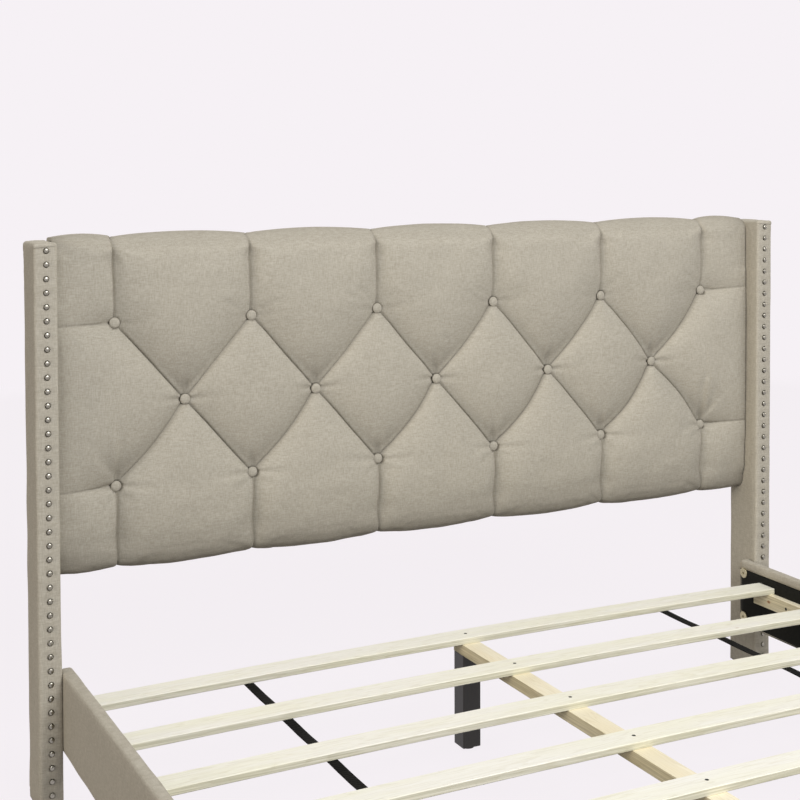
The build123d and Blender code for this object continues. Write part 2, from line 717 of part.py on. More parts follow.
with BuildPart() as levellers:
    with Locations(ground):
        with Locations(*leg_places):
            Cylinder(leveller_radius, leveller_pad, align=(Align.CENTER, Align.CENTER, Align.MIN))
            Cylinder(leveller_stem_radius, leveller_pad + leveller_stem_length,
                     align=(Align.CENTER, Align.CENTER, Align.MIN))
save(levellers, "centre_leg_levellers")

# Footboard: a board with a padded cover, in front of two upholstered posts that reach the floor
foot_board_front_y = foot_y + foot_padding + fit_gap
foot_board_back_y = foot_board_front_y + foot_board_thickness
foot_half_width = outer_half_width - rail_padding - fit_gap
# Looking at the back of the footboard from the headboard: local x is +X, local y is -Z
foot_board_back = Plane(origin=(0, foot_board_back_y, 0), x_dir=(1, 0, 0), z_dir=(0, 1, 0))
post_bolt_points = [(x, -z) for x, z in post_bolt_points]

with BuildPart() as footboard:
    box_between((-foot_half_width, foot_board_front_y, rail_board_bottom),
                (foot_half_width, foot_board_back_y, rail_board_top))
    with Locations(foot_board_back):
        with Locations(*post_bolt_points):
            Cylinder(panel_nut_radius + fit_gap, 2 * (panel_nut_length + fit_gap), mode=Mode.SUBTRACT)
save(footboard, "footboard_board")

with BuildPart() as footboard_cover:
    box_between((-outer_half_width, foot_y, rail_bottom),
                (outer_half_width, footboard_back_y, rail_top))
    fillet(footboard_cover.edges().filter_by(Axis.X).group_by(Axis.Y)[0], foot_crown_radius)
    fillet(footboard_cover.edges().filter_by(Axis.X).group_by(Axis.Z)[-1].group_by(Axis.Y)[-1],
           rail_inner_radius)
    box_between((-foot_half_width - fit_gap, foot_board_front_y - fit_gap,
                 rail_board_bottom - fit_gap),
                (foot_half_width + fit_gap, foot_board_back_y + fit_gap, rail_board_top + fit_gap),
                mode=Mode.SUBTRACT)
    box_between((-foot_half_width, foot_board_back_y, rail_board_bottom),
                (foot_half_width, footboard_back_y + cut_overrun, flap_bottom), mode=Mode.SUBTRACT)
save(footboard_cover, "footboard_cover")

with BuildPart() as footboard_cloth:
    box_between((-foot_half_width + fit_gap, foot_board_back_y + fit_gap,
                 rail_board_bottom + fit_gap),
                (foot_half_width - fit_gap, footboard_back_y - fit_gap, flap_bottom - fit_gap))
    with Locations(foot_board_back):
        with Locations(*post_bolt_points):
            Cylinder(panel_bolt_radius + fit_gap, 4 * rail_skin, mode=Mode.SUBTRACT)
save(footboard_cloth, "footboard_inner_cloth")

post_front_y = footboard_back_y + fit_gap
post_back_y = post_front_y + foot_post_depth
post_top = rail_board_top
post_core_back_y = post_back_y - foot_post_padding - fit_gap
post_bolt_seat_y = post_core_back_y - bolt_head_thickness - fit_gap
post_bolt_length = post_bolt_seat_y - foot_board_back_y + panel_nut_length
post_bolt = bolt_shape(panel_bolt_radius, panel_bolt_head_radius, post_bolt_length)

with BuildPart() as post_bolts:
    with Locations(foot_board_back.offset(post_bolt_seat_y - foot_board_back_y)):
        with Locations(*post_bolt_points):
            add(post_bolt)
save(post_bolts, "foot_post_bolts")

with BuildPart() as post_inserts:
    with Locations(foot_board_back):
        with Locations(*post_bolt_points):
            add(panel_insert)
save(post_inserts, "foot_post_bolt_inserts")

for side_name, side in sides:
    centre_x = side * wing_centre_x
    core_low = (centre_x - core_half_thickness, post_front_y, glide_height)
    core_high = (centre_x + core_half_thickness, post_core_back_y,
                 post_top - foot_post_padding - fit_gap)
    with BuildPart() as post_core:
        box_between(core_low, core_high)
        with Locations(side_plane(side, inner_half_width + wing_padding)):
            with Locations(*on_side(side, foot_bolt_places)):
                Cylinder(nut_radius + fit_gap, 2 * (bolt_bite + cut_overrun), mode=Mode.SUBTRACT)
        with Locations(foot_board_back.offset(post_core_back_y - foot_board_back_y)):
            with Locations(*post_bolt_points):
                Cylinder(panel_bolt_radius + fit_gap, 3 * foot_post_depth, mode=Mode.SUBTRACT)
                Cylinder(panel_bolt_head_radius + fit_gap, 2 * (bolt_head_thickness + fit_gap),
                         mode=Mode.SUBTRACT)
    save(post_core, f"{side_name}_foot_post_core")

    with BuildPart() as post_cover:
        box_between((centre_x - wing_thickness / 2, post_front_y, glide_height),
                    (centre_x + wing_thickness / 2, post_back_y, post_top))
        fillet(post_cover.edges().group_by(Axis.Y)[-1].filter_by(Axis.Z), wing_edge_radius)
        box_between((core_low[0] - fit_gap, core_low[1] - cut_overrun, core_low[2] - cut_overrun),
                    tuple(value + fit_gap for value in core_high), mode=Mode.SUBTRACT)
        with Locations(side_plane(side, inner_half_width)):
            with Locations(*on_side(side, foot_bolt_places)):
                Cylinder(bolt_radius + fit_gap, 3 * wing_padding, mode=Mode.SUBTRACT)
    save(post_cover, f"{side_name}_foot_post_cover")

    with BuildPart() as post_glide:
        box_between((core_low[0], core_low[1], 0), (core_high[0], core_high[1], glide_height))
        fillet(post_glide.edges().filter_by(Axis.Z), wing_edge_radius)
        chamfer(post_glide.edges().group_by(Axis.Z)[0], glide_height / 4)
    save(post_glide, f"{side_name}_foot_post_glide")
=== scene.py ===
import json
import math
import bpy
import numpy as np
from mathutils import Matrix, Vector


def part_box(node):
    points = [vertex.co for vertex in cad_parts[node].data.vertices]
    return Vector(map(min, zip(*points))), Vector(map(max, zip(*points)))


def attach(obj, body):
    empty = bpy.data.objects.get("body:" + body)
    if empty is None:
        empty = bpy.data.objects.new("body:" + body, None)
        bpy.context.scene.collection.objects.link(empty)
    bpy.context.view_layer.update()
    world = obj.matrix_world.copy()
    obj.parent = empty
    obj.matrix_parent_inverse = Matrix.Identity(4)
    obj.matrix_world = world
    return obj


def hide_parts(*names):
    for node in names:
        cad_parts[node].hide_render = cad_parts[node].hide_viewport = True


# Wingback bed: linen covers, buttons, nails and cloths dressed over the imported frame.
# Metres, +Y to the headboard, +X to the right for someone at the foot, +Z up. Most code works in mm.
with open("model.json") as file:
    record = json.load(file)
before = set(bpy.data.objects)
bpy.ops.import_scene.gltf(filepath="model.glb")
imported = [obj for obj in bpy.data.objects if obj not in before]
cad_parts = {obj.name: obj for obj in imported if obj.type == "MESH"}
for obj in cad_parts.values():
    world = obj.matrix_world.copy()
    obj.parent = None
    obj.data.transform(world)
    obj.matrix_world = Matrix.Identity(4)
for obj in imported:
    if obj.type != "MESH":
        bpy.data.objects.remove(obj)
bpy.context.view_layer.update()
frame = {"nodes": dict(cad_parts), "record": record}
mm = 0.001
print("frame loaded:", len(frame["nodes"]), "nodes")


def toLinear(code):  # sRGB hex to the linear colour that shaders use
    parts = [int(code[i:i + 2], 16) / 255 for i in (1, 3, 5)]
    return [c / 12.92 if c <= 0.04045 else ((c + 0.055) / 1.055) ** 2.4 for c in parts] + [1.0]


def addNode(tree, kind, settings=None, links=None):
    node = tree.nodes.new("ShaderNode" + kind)
    settings = settings or {}
    for name, value in settings.items():  # attributes first, because they can change the sockets
        if isinstance(name, str) and name not in node.inputs:
            setattr(node, name, value)
    for name, value in settings.items():
        if not isinstance(name, str) or name in node.inputs:
            node.inputs[name].default_value = value
    for name, (source, output) in (links or {}).items():
        tree.links.new(source.outputs[output], node.inputs[name])
    return node


def newMaterial(name):
    material = bpy.data.materials.new(name)
    material.use_nodes = True
    tree = material.node_tree
    tree.nodes.clear()
    return material, tree, (addNode(tree, "TexCoord"), "Object")


def finishMaterial(material, settings, color, height, bumpSize, strength, roughness=None):
    tree = material.node_tree
    relief = addNode(tree, "Bump", {"Strength": strength, "Distance": bumpSize}, {"Height": height})
    links = {"Base Color": color, "Normal": (relief, "Normal")}
    if roughness:
        links["Roughness"] = roughness
    shader = addNode(tree, "BsdfPrincipled", settings, links)
    addNode(tree, "OutputMaterial", links={"Surface": (shader, "BSDF")})
    return material


def ramp(tree, source, stops, interpolation="LINEAR"):  # colour ramp with hex or grey stops
    node = addNode(tree, "ValToRGB", links={"Fac": source})
    node.color_ramp.interpolation = interpolation
    while len(node.color_ramp.elements) < len(stops):
        node.color_ramp.elements.new(0.5)
    for element, (place, value) in zip(node.color_ramp.elements, stops):
        element.position = place
        element.color = toLinear(value) if isinstance(value, str) else (value, value, value, 1)
    return node, "Color"


def noiseAlong(tree, place, lengths, detail=2.0, seed=0.0, rough=0.55):
    # noise whose grain is lengths = (x, y, z) long, in metres
    mapping = {"Scale": [1 / v for v in lengths], "Location": (seed, seed * 0.7, -seed)}
    scaled = addNode(tree, "Mapping", mapping, {"Vector": place})
    settings = {"Scale": 1.0, "Detail": detail, "Roughness": rough}
    return addNode(tree, "TexNoise", settings, {"Vector": (scaled, "Vector")}), "Fac"


def mixNodes(tree, kind, settings, values, output):
    # each value is a node's output, a hex colour or a number
    settings, links = dict(settings), {}
    for socket, value in values.items():
        if isinstance(value, tuple):
            links[socket] = value
        else:
            settings[socket] = toLinear(value) if isinstance(value, str) else value
    return addNode(tree, kind, settings, links), output


def mixColors(tree, factor, a, b, blend="MIX"):
    return mixNodes(tree, "Mix", {"data_type": "RGBA", "blend_type": blend}, {0: factor, 6: a, 7: b}, 2)


def mathNode(tree, operation, a, b=0.0, clamp=False):
    return mixNodes(tree, "Math", {"operation": operation, "use_clamp": clamp}, {0: a, 1: b}, "Value")


# Linen-look polyester upholstery, plain woven from heathered yarn: soft, dull, with short light and
# dark slubs both ways
linenLook = {
    # deep is the colour of the painted shade in folds, round buttons and along the edges
    "dark": "#A39D8F", "mid": "#AFA99C", "light": "#BBB6A9", "deep": "#4A443A",
    "slubLength": 14 * mm,    # a thick place in the yarn
    "threadWidth": 2.0 * mm,  # real threads are 0.5 mm apart, drawn coarser so they show at bed size
    "blotchSize": 60 * mm,
}


def makeLinen():
    look = linenLook
    material, tree, place = newMaterial("linen_weave_heathered")
    long, fine = look["slubLength"], look["threadWidth"]
    weft = noiseAlong(tree, place, (long, long, fine), 3.0, 3.0)
    warp = noiseAlong(tree, place, (fine, fine, long), 3.0, 11.0)
    blotch = noiseAlong(tree, place, (look["blotchSize"],) * 3, 3.0, 5.0)
    weave = mathNode(tree, "MULTIPLY", mathNode(tree, "ADD", weft, warp), 0.5)
    shade = ramp(tree, weave, [(0.36, look["dark"]), (0.5, look["mid"]), (0.64, look["light"])])
    tone = ramp(tree, blotch, [(0.3, 0.965), (0.7, 1.0)])
    color = mixColors(tree, 1.0, shade, tone, "MULTIPLY")
    # painted shade: a point attribute mixes the linen towards the deep colour where cloth pressed together
    # deep in a fold, under a pillow, round a button or along an edge would take hardly any light
    paintedShade = addNode(tree, "Attribute", {"attribute_name": "paintedShade"}), "Fac"
    color = mixColors(tree, paintedShade, color, look["deep"])
    finish = {"Roughness": 0.92, "Sheen Weight": 0.12, "Sheen Roughness": 0.5,
              "Sheen Tint": toLinear("#E8E2D4"), "Specular IOR Level": 0.25}
    return finishMaterial(material, finish, color, weave, 0.5 * mm, 0.55)


# Non-woven polypropylene lining, spun-bonded: flat black with a faint mottle of fused fibres
def makeLining():
    material, tree, place = newMaterial("nonwoven_lining_black")
    fibres = noiseAlong(tree, place, (9 * mm,) * 3, 5.0, 2.0, 0.75)
    dots = addNode(tree, "TexVoronoi", {"Scale": 1 / (3 * mm)}, {"Vector": place}), "Distance"
    color = ramp(tree, fibres, [(0.3, "#0F0F0B"), (0.7, "#1C1C17")])
    finish = {"Roughness": 0.9, "Sheen Weight": 0.03, "Specular IOR Level": 0.15}
    return finishMaterial(material, finish, color, dots, 0.2 * mm, 0.4)


# Polypropylene webbing, woven in a tight twill: black ribs along the tape with a low shine
def makeWebbing():
    material, tree, place = newMaterial("webbing_twill_black")
    wave = {"Scale": 1 / (3.2 * mm) / 6.283, "bands_direction": "DIAGONAL",
            "Distortion": 1.0, "Detail": 1.0}
    ribs = addNode(tree, "TexWave", wave, {"Vector": place}), "Fac"
    color = ramp(tree, ribs, [(0.2, "#070706"), (0.9, "#161614")])
    finish = {"Roughness": 0.9, "Specular IOR Level": 0.12}
    return finishMaterial(material, finish, color, ribs, 0.4 * mm, 0.8)


# Planed pine, unfinished: pale cream, faint yellow growth lines along the board, a few small knots
pineLook = {
    "pale": "#F4F3EC", "mid": "#ECEADF", "line": "#D6D1BF", "knot": "#8E6A45", "knotRim": "#D2B48C",
    "sawn": "#EFEDE5", "sawnShadeDark": "#D2D0C3",
    "ringWidth": 5 * mm, "knotSize": 7 * mm,
    # width across the board and length along it of each grain
    "rings": (26 * mm, 420 * mm), "fibre": (1.6 * mm, 60 * mm), "tone": (50 * mm, 300 * mm),
    "streak": (3 * mm, 240 * mm),
}


def makePine(name, along, seed, knot, knotStrength, tones):
    look = pineLook
    material, tree, place = newMaterial(name)
    axis = "xyz".index(along)

    def grain(kind, detail, shift):
        across, length = look[kind]
        lengths = [length if i == axis else across for i in range(3)]
        return noiseAlong(tree, place, lengths, detail, seed + shift)

    rings, fibre = grain("rings", 2.0, 0), grain("fibre", 3.0, 4)
    broad, streak = grain("tone", 2.0, 9), grain("streak", 3.0, 13)
    bands = mathNode(tree, "MULTIPLY", rings, look["rings"][0] / look["ringWidth"] * 2.2)
    bands = mathNode(tree, "FRACT", bands)
    base = ramp(tree, fibre, [(0.3, look["mid"]), (0.62, look["pale"])])
    line = ramp(tree, bands, [(0.0, 0.0), (0.62, 0.12), (0.9, 0.75), (1.0, 0.0)])
    color = mixColors(tree, mathNode(tree, "MULTIPLY", line, 0.55), base, look["line"])
    tone = ramp(tree, broad, [(0.35, tones[0]), (0.65, tones[1])])
    color = mixColors(tree, 1.0, color, tone, "MULTIPLY")
    # the planed faces lie level; the sawn edges show the grain more strongly, and every face that is not
    # level is also painted darker, as painted shade
    facing = addNode(tree, "SeparateXYZ", links={"Vector": (place[0], "Normal")}), "Z"
    edge = mathNode(tree, "SUBTRACT", 1.0, mathNode(tree, "ABSOLUTE", facing), clamp=True)
    sawn = ramp(tree, streak, [(0.38, look["sawnShadeDark"]), (0.62, look["sawn"])])
    color = mixColors(tree, edge, color, mixColors(tree, 1.0, color, sawn, "MULTIPLY"))
    # one small knot, drawn out along the board, with a pale brown rim
    away = addNode(tree, "Mapping", {"Location": [-c for c in knot]}, {"Vector": place})
    size = [1 / (look["knotSize"] * (1.7 if i == axis else 1.0)) for i in range(3)]
    stretched = addNode(tree, "Mapping", {"Scale": size}, {"Vector": (away, "Vector")})
    reach = addNode(tree, "VectorMath", {"operation": "LENGTH"}, {0: (stretched, "Vector")}), "Value"
    wobble = mathNode(tree, "ADD", reach, mathNode(tree, "MULTIPLY", fibre, 0.5))
    halo = ramp(tree, wobble, [(0.5, 1.0), (0.85, 0.85), (1.6, 0.0)])
    core = ramp(tree, wobble, [(0.55, 1.0), (0.95, 0.0)])
    for spot, share, tint in ((halo, 0.7, "knotRim"), (core, 1.0, "knot")):
        weight = mathNode(tree, "MULTIPLY", spot, share * knotStrength)
        color = mixColors(tree, weight, color, look[tint])
    finish = {"Roughness": 0.62, "Specular IOR Level": 0.35}
    return finishMaterial(material, finish, color, fibre, 0.25 * mm, 0.5)


# Pewter-plated nails, tumbled and antiqued, with crowns rubbed bright and spots of patina; the dark round
# the rim, where the dome meets the cloth, is painted shade as well as tarnish
def makePewter():
    material, tree, place = newMaterial("pewter_antiqued_and_rim_shade")
    crown = addNode(tree, "Attribute", {"attribute_name": "crown"}), "Fac"
    cloud = noiseAlong(tree, place, (1.5 * mm,) * 3, 3.0, 4.0)
    wearAndShade = mathNode(tree, "ADD", crown, mathNode(tree, "MULTIPLY", cloud, 0.4))
    # painted shade: the dark stop at the rim stands in for the shade where each dome meets the cloth
    color = ramp(tree, wearAndShade, [(0.3, "#1C1A15"), (0.75, "#555247"), (1.0, "#97948A")])
    return finishMaterial(material, {"Metallic": 1.0, "Roughness": 0.3}, color, cloud, 0.2 * mm, 0.5)


def makeGrained(name, grain, seed, stops, finish, bumpSize, strength=0.5, detail=3.0, gloss=None):
    # one noise gives the colour, the relief and, round the value gloss, the roughness; sizes in mm
    material, tree, place = newMaterial(name)
    noise = noiseAlong(tree, place, [v * mm for v in grain], detail, seed)
    rough = ramp(tree, noise, [(0.3, gloss - 0.06), (0.7, gloss + 0.1)]) if gloss else None
    return finishMaterial(material, finish, ramp(tree, noise, stops), noise, bumpSize * mm, strength, rough)


# Plated and coated steel: small scratches and a cloudy plating show in the gloss
def makeSteel(name, dark, light, gloss):
    stops = [(0.35, dark), (0.65, light)]
    return makeGrained(name, (2, 2, 2), 8.0, stops, {"Metallic": 1.0}, 0.05, 0.3, 4.0, gloss)


pineAlong = makePine("pine_planed_cleats", "y", 7.0, (0.956, 0.8531, 0.2414), 1.0, ("#FBF2DC", "#FFF9EA"))
slotMaterials = {
    "linen_upholstery": makeLinen(),
    "black_lining": makeLining(),
    "black_webbing": makeWebbing(),
    "pewter_nails": makePewter(),
    "zinc_hardware": makeSteel("steel_zinc_cream", "#8F876B", "#C4BC9E", 0.38),
    "steel_hardware": makeSteel("steel_zinc_plated", "#9DA0A0", "#C9CBCB", 0.36),
    "black_screws": makeSteel("steel_phosphated_black", "#1B1B1A", "#2E2D2B", 0.5),
    # moulded ABS glides and levelling feet: black, slightly grained
    "black_glides": makeGrained(
        "abs_moulded_black", (0.8, 0.8, 0.8), 3.0, [(0.3, "#0E0E0E"), (0.7, "#1A1A1A")],
        {"Roughness": 0.5, "IOR": 1.54}, 0.05, 0.4, 2.0),
    # black-stained beech legs: nearly black, a little grain catches the light
    "black_legs": makeGrained(
        "beech_stained_black", (1.5, 1.5, 60), 6.0, [(0.35, "#12110E"), (0.7, "#24211B")],
        {"Roughness": 0.45}, 0.15),
    "bare_pine": makePine(
        "pine_planed_slats", "x", 2.0, (0.6515, 0.6177, 0.285), 0.3, ("#FDFDF5", "#FFFFFF")),
    # sawn plywood and framing pine inside the covers
    "frame_timber": makeGrained(
        "plywood_and_sawn_pine", (200, 1.5, 6), 1.0, [(0.35, "#B08F62"), (0.65, "#D9C193")],
        {"Roughness": 0.75}, 0.3),
}
print("materials made")

for part in frame["record"]["subparts"]:
    data = frame["nodes"][part["node"]].data
    along = part["node"] == "centre_beam" or part["node"].endswith("_cleat")
    data.materials.clear()
    data.materials.append(pineAlong if along else slotMaterials[part["material_slot"]])


def boxOf(name):  # both corners of a node's CAD box in millimetres
    return [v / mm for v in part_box(name)]


def addObject(name, data):
    made = bpy.data.objects.new(name, data)
    bpy.context.scene.collection.objects.link(made)
    return made


def newPiece(name, points, faces, slotName="linen_upholstery", attributes=None):
    mesh = bpy.data.meshes.new(name)
    corners = [tuple(int(i) for i in f) for f in faces]
    mesh.from_pydata([tuple(p) for p in np.array(points) * mm], [], corners)
    mesh.update()
    for key, values in (attributes or {}).items():
        mesh.attributes.new(key, "FLOAT", "POINT").data.foreach_set("value", np.asarray(values, np.float32))
    piece = addObject(name, mesh)
    mesh.materials.append(slotMaterials[slotName])
    mesh.polygons.foreach_set("use_smooth", [True] * len(mesh.polygons))
    return piece


def readPoints(piece):
    points = np.empty(len(piece.data.vertices) * 3)
    piece.data.vertices.foreach_get("co", points)
    return points.reshape(-1, 3) / mm


def gridFaces(rows, cols, start=0, wrap=False):
    # quads of a rows x cols grid of points; wrap joins the last column to the first
    faces = []
    for r in range(rows - 1):
        for c in range(cols if wrap else cols - 1):
            d = (c + 1) % cols
            a = start + r * cols
            faces.append((a + c, a + d, a + cols + d, a + cols + c))
    return faces


def smoothStep(x):
    x = np.clip(x, 0, 1)
    return x * x * (3 - 2 * x)


def rise(distance, width):
    return 1 - np.exp(-distance / width)


def bump(distance, width, centre=0.0):
    return np.exp(-((distance - centre) / width) ** 2)


def ripples(X, S, seed, size, amount):
    # smooth random wave field in millimetres, the same each run
    rng = np.random.default_rng(seed)
    field, waves = np.zeros(X.shape), 14
    for _ in range(waves):
        angle, length, phase = rng.uniform(0, math.pi), size * rng.uniform(0.6, 1.6), rng.uniform(0, 6.28)
        field += np.sin((X * math.cos(angle) + S * math.sin(angle)) * 6.283 / length + phase)
    return field * amount / waves ** 0.5


swelling = {"pressure": 4.0, "frames": 20, "quality": 4}


def simulateCloth(piece, pinned, cap):
    # swells a cover by air pressure with its pinned points held; every point moves by cap at most
    rest = readPoints(piece)
    scene = bpy.context.scene
    group = piece.vertex_groups.new(name="pinned")
    group.add([int(i) for i in np.nonzero(pinned)[0]], 1.0, "REPLACE")
    cloth = piece.modifiers.new("swell", "CLOTH")
    settings = cloth.settings
    settings.quality = swelling["quality"]
    settings.use_pressure, settings.uniform_pressure_force = True, swelling["pressure"]
    settings.effector_weights.gravity = 0
    settings.vertex_group_mass = "pinned"
    cloth.collision_settings.use_collision = False
    cloth.point_cache.frame_end = swelling["frames"]
    for number in range(1, swelling["frames"] + 1):
        scene.frame_set(number)
    moved = np.empty(rest.size)
    done = piece.evaluated_get(bpy.context.evaluated_depsgraph_get())
    done.data.vertices.foreach_get("co", moved)
    piece.modifiers.remove(cloth)
    piece.vertex_groups.remove(group)
    scene.frame_set(1)
    shift = moved.reshape(-1, 3) / mm - rest
    size = np.linalg.norm(shift, axis=1, keepdims=True)
    shift *= np.tanh(size / cap) * cap / np.maximum(size, 1e-6)
    print("swelled", piece.name, "by up to", round(float(np.abs(shift).max()), 1), "mm")
    return rest + shift


# Tufted headboard cover. The cloth is laid out flat as rows (S, up the front and over the top) and
# columns (X, across) in millimetres; creases run exactly through grid points.
padLow, padHigh = boxOf("headboard_tufted_pad")
middleRowZ = sum(corner.z for corner in boxOf("headboard_buttons")) / 2
boardFront = boxOf("headboard_board")[0].y
railBack = boxOf("headboard_frame_rails")[1].y
padBack = railBack + 1.4
panelHalf = padHigh.x
tuft = {
    "pitchX": 343.0, "pitchZ": 194.0,
    "divisions": 44,          # grid steps from a button to the next row's button
    # outline: its turns, the lip behind, how far the front leans back and the edges draw in
    "topRadius": 46.0, "bottomRadius": 58.0, "backRadius": 12.0, "lip": 34.0,
    "topRoll": 6.0, "topRollStart": 155, "topRollSpan": 165, "topRollEnd": (24, 60),
    "bottomRoll": 13.0, "bottomRollStart": 115, "bottomRollSpan": 130, "bottomRollEnd": (10, 45),
    "topDraw": 3.0, "bottomDraw": -2.0, "scallop": 9.0, "cornerScallop": 7.0, "cornerLift": 4.0,
    # depth of buttons and folds: in front, at the edges, behind, at the ends and next to the wings
    "buttonDepth": 39.0, "creaseDepth": 33.0, "edgeDepth": 5.0, "backDepth": 0.1, "endDepth": 7.0,
    "endWidth": 24.0, "endCleft": 15.0, "cleftWidth": 0.5,
    "deepest": 42.0,          # just clear of the board
    "buttonReach": 24.0,      # how far along a crease the pull of a button shows
    # pillows: share of the broad crown, and how quickly they rise from the folds round them
    "diamondSwell": 0.59, "domeShare": 0.6, "belowWidth": 42.0, "aboveWidth": 4.5,
    "leftWidth": 2.6, "rightWidth": 5.0, "pitStart": 12.0, "pitWidth": 3.0,
    # thin slits in the folds, and the dents where two folds meet over a button
    "backslashSlit": 9.0, "slashSlit": 5.0, "uprightSlit": 7.0, "levelSlit": 2.0, "lowerUpright": 0.6,
    "veeDepth": 14.0, "lowerVeeDepth": 11.0, "veeReach": 58.0, "veeWidth": 24,
    # how far cloth hangs over a fold, rises over it or closes in on it, as (amount, centre, width)
    "sag": (3.6, 7, 9), "lift": (1.2, 4, 5), "pinch": (2.3, 5, 5), "buttonPinch": (3.4, 18.5, 5),
    # paths of the folds on the cloth
    "lean": 10.0, "leanGain": 2.0, "endRise": 7.0, "endRiseWidth": 60,
    "lowerBow": (11.0, 6.0), "upperBow": (3.0, 8.0), "backBow": 14.0, "bowReach": 58.0,
    "rippleSizes": ((3, 120, 0.8), (8, 34, 0.22)), "sideways": (21, 170, 1.2), "upward": (33, 190, 1.0),
    "swellCap": 3.0,
    # angle, depth and reach of the main pleats at a button, fewer in the upper row
    "pleats": ((90, 8.0, 60), (3, 6.0, 32), (177, 6.0, 32)), "upperPleats": ((0, 1.6, 26), (180, 1.6, 26)),
}
# painted shade: how dark the linen is painted where hardly any light reaches it
shades = {
    "backslash": 0.62, "slash": 0.54, "slashGain": 0.28, "lowSlash": 0.12, "upright": 0.4, "level": 0.26,
    "rim": 0.75, "cleft": 0.95, "under": 0.22, "underReach": 14, "vee": 0.5, "end": 0.36, "endReach": 24.0,
    "low": 0.035, "top": 0.11, "bottom": 0.4,
}
foldKinds = ("backslash", "slash", "upright", "level")
outerButtonX = 2.5 * tuft["pitchX"]
buttonPlaces = [(i * tuft["pitchX"], 0.0) for i in range(-2, 3)]
buttonPlaces += [((i - 2.5) * tuft["pitchX"], sign * tuft["pitchZ"]) for i in range(6) for sign in (1, -1)]


def frontRadius(sign):
    return tuft["topRadius"] if sign > 0 else tuft["bottomRadius"]


def edgeZ(sign):
    return padHigh.z - tuft["topDraw"] if sign > 0 else padLow.z + tuft["bottomDraw"]


def profileMarks(sign):
    # where the front, its turn, the level part, the back turn and the lip end, from the middle row
    radius, back = frontRadius(sign), tuft["backRadius"]
    straight = abs(edgeZ(sign) - middleRowZ) - radius
    flat = (padBack - back) - (padLow.y + radius)
    return np.cumsum([straight, radius * math.pi / 2, flat, back * math.pi / 2, tuft["lip"]])


def profilePath(s):
    # crown outline of the pad in the yz plane, with its normals
    y, z, ny, nz = [np.empty_like(s) for _ in range(4)]
    for sign in (1, -1):
        here = s >= 0 if sign > 0 else s < 0
        front, back, marks = frontRadius(sign), tuft["backRadius"], profileMarks(sign)
        d = np.abs(s[here])
        turn = np.clip((d - marks[0]) / front, 0, math.pi / 2)
        tuck = np.clip((d - marks[2]) / back, 0, math.pi / 2)
        flat = np.clip(d - marks[1], 0, marks[2] - marks[1])
        climb = np.minimum(d - marks[0], 0) - front * (1 - np.sin(turn))
        drop = back * (1 - np.cos(tuck)) + np.maximum(d - marks[3], 0)
        y[here] = padLow.y + front * (1 - np.cos(turn)) + flat + back * np.sin(tuck)
        z[here] = edgeZ(sign) + sign * (climb - drop)
        ny[here] = np.sin(tuck) - np.cos(turn)
        nz[here] = sign * np.sin(turn) * np.cos(tuck)
    return y, z, ny, nz


def pastMark(S, number):
    # how far a place lies beyond one of the marks of its own edge, the top or the bottom one
    return np.where(S >= 0, S - profileMarks(1)[number], -S - profileMarks(-1)[number])


def layOut(n):
    # grid with n steps between two rows of buttons, and which of its points lie on a fold
    dx, dz = tuft["pitchX"] / 2 / n, tuft["pitchZ"] / n
    sideSteps = max(2, round((panelHalf - outerButtonX) / dx))
    inner = np.arange(-5 * n, 5 * n + 1) * dx
    side = outerButtonX + (panelHalf - outerButtonX) * np.arange(1, sideSteps + 1) / sideSteps
    counts, extra = [], []
    for sign in (1, -1):
        reach = profileMarks(sign)[-1] - tuft["pitchZ"]
        count = max(2, round(reach / dz))
        counts.append(count)
        extra.append(tuft["pitchZ"] + reach * np.arange(1, count + 1) / count)
    K, J = np.meshgrid(np.arange(-5 * n - sideSteps, 5 * n + sideSteps + 1),
                       np.arange(-n - counts[1], n + counts[0] + 1))
    inside, band = np.abs(K) <= 5 * n, np.abs(J) <= n
    return {
        "x": np.concatenate([-side[::-1], inner, side]),
        "s": np.concatenate([-extra[1][::-1], np.arange(-n, n + 1) * dz, extra[0]]),
        "slash": band & inside & ((K - J) % (2 * n) == 0),
        "backslash": band & inside & ((K + J) % (2 * n) == 0),
        "upright": ~band & inside & ((K - n) % (2 * n) == 0),
        "level": (np.abs(J) == n) & ~inside,
        "ends": ~band & (np.abs(K) == K.max()),
    }


def relax(field, fixed, source, steps):
    # evens a field out over the grid, keeping the fixed points; the outer edges are free
    for _ in range(steps):
        around = np.pad(field, 1, mode="edge")
        mean = (around[:-2, 1:-1] + around[2:, 1:-1] + around[1:-1, :-2] + around[1:-1, 2:]) / 4
        field = np.where(fixed, field, mean + source)
    return field


def resample(field, x0, s0, x1, s1):
    # bilinear resampling from one layout to another
    rows = np.array([np.interp(x1, x0, row) for row in field])
    return np.array([np.interp(s1, s0, col) for col in rows.T]).T


def creaseDepths(X, S):
    # how deep below the crown a crease lies, at each grid point
    front, edge = tuft["creaseDepth"], tuft["edgeDepth"]
    depth = np.full(X.shape, front)
    for sign in (1, -1):
        t, marks = sign * S, profileMarks(sign)
        toEdge = smoothStep((t - marks[0] + 50) / (marks[1] - marks[0] + 50))
        depth = np.where(t > 0, depth + (edge - front) * toEdge, depth)
        toBack = smoothStep((t - marks[3] + 4) / 22)
        depth = np.where(t > marks[2], depth + (tuft["backDepth"] - edge) * toBack, depth)
    outward = (np.abs(X) - outerButtonX) / (panelHalf - outerButtonX)
    toEnd = (tuft["endDepth"] - front) * smoothStep(outward) * (np.abs(S) < 250)
    depth = np.where(outward > 0, depth + toEnd, depth)
    pull = np.exp(-np.maximum(buttonDistance(X, S) - 14, 0) / tuft["buttonReach"])
    return depth + (tuft["buttonDepth"] - depth) * pull


def buttonDistance(X, S):
    return np.min([np.hypot(X - bx, S - bs) for bx, bs in buttonPlaces], axis=0)


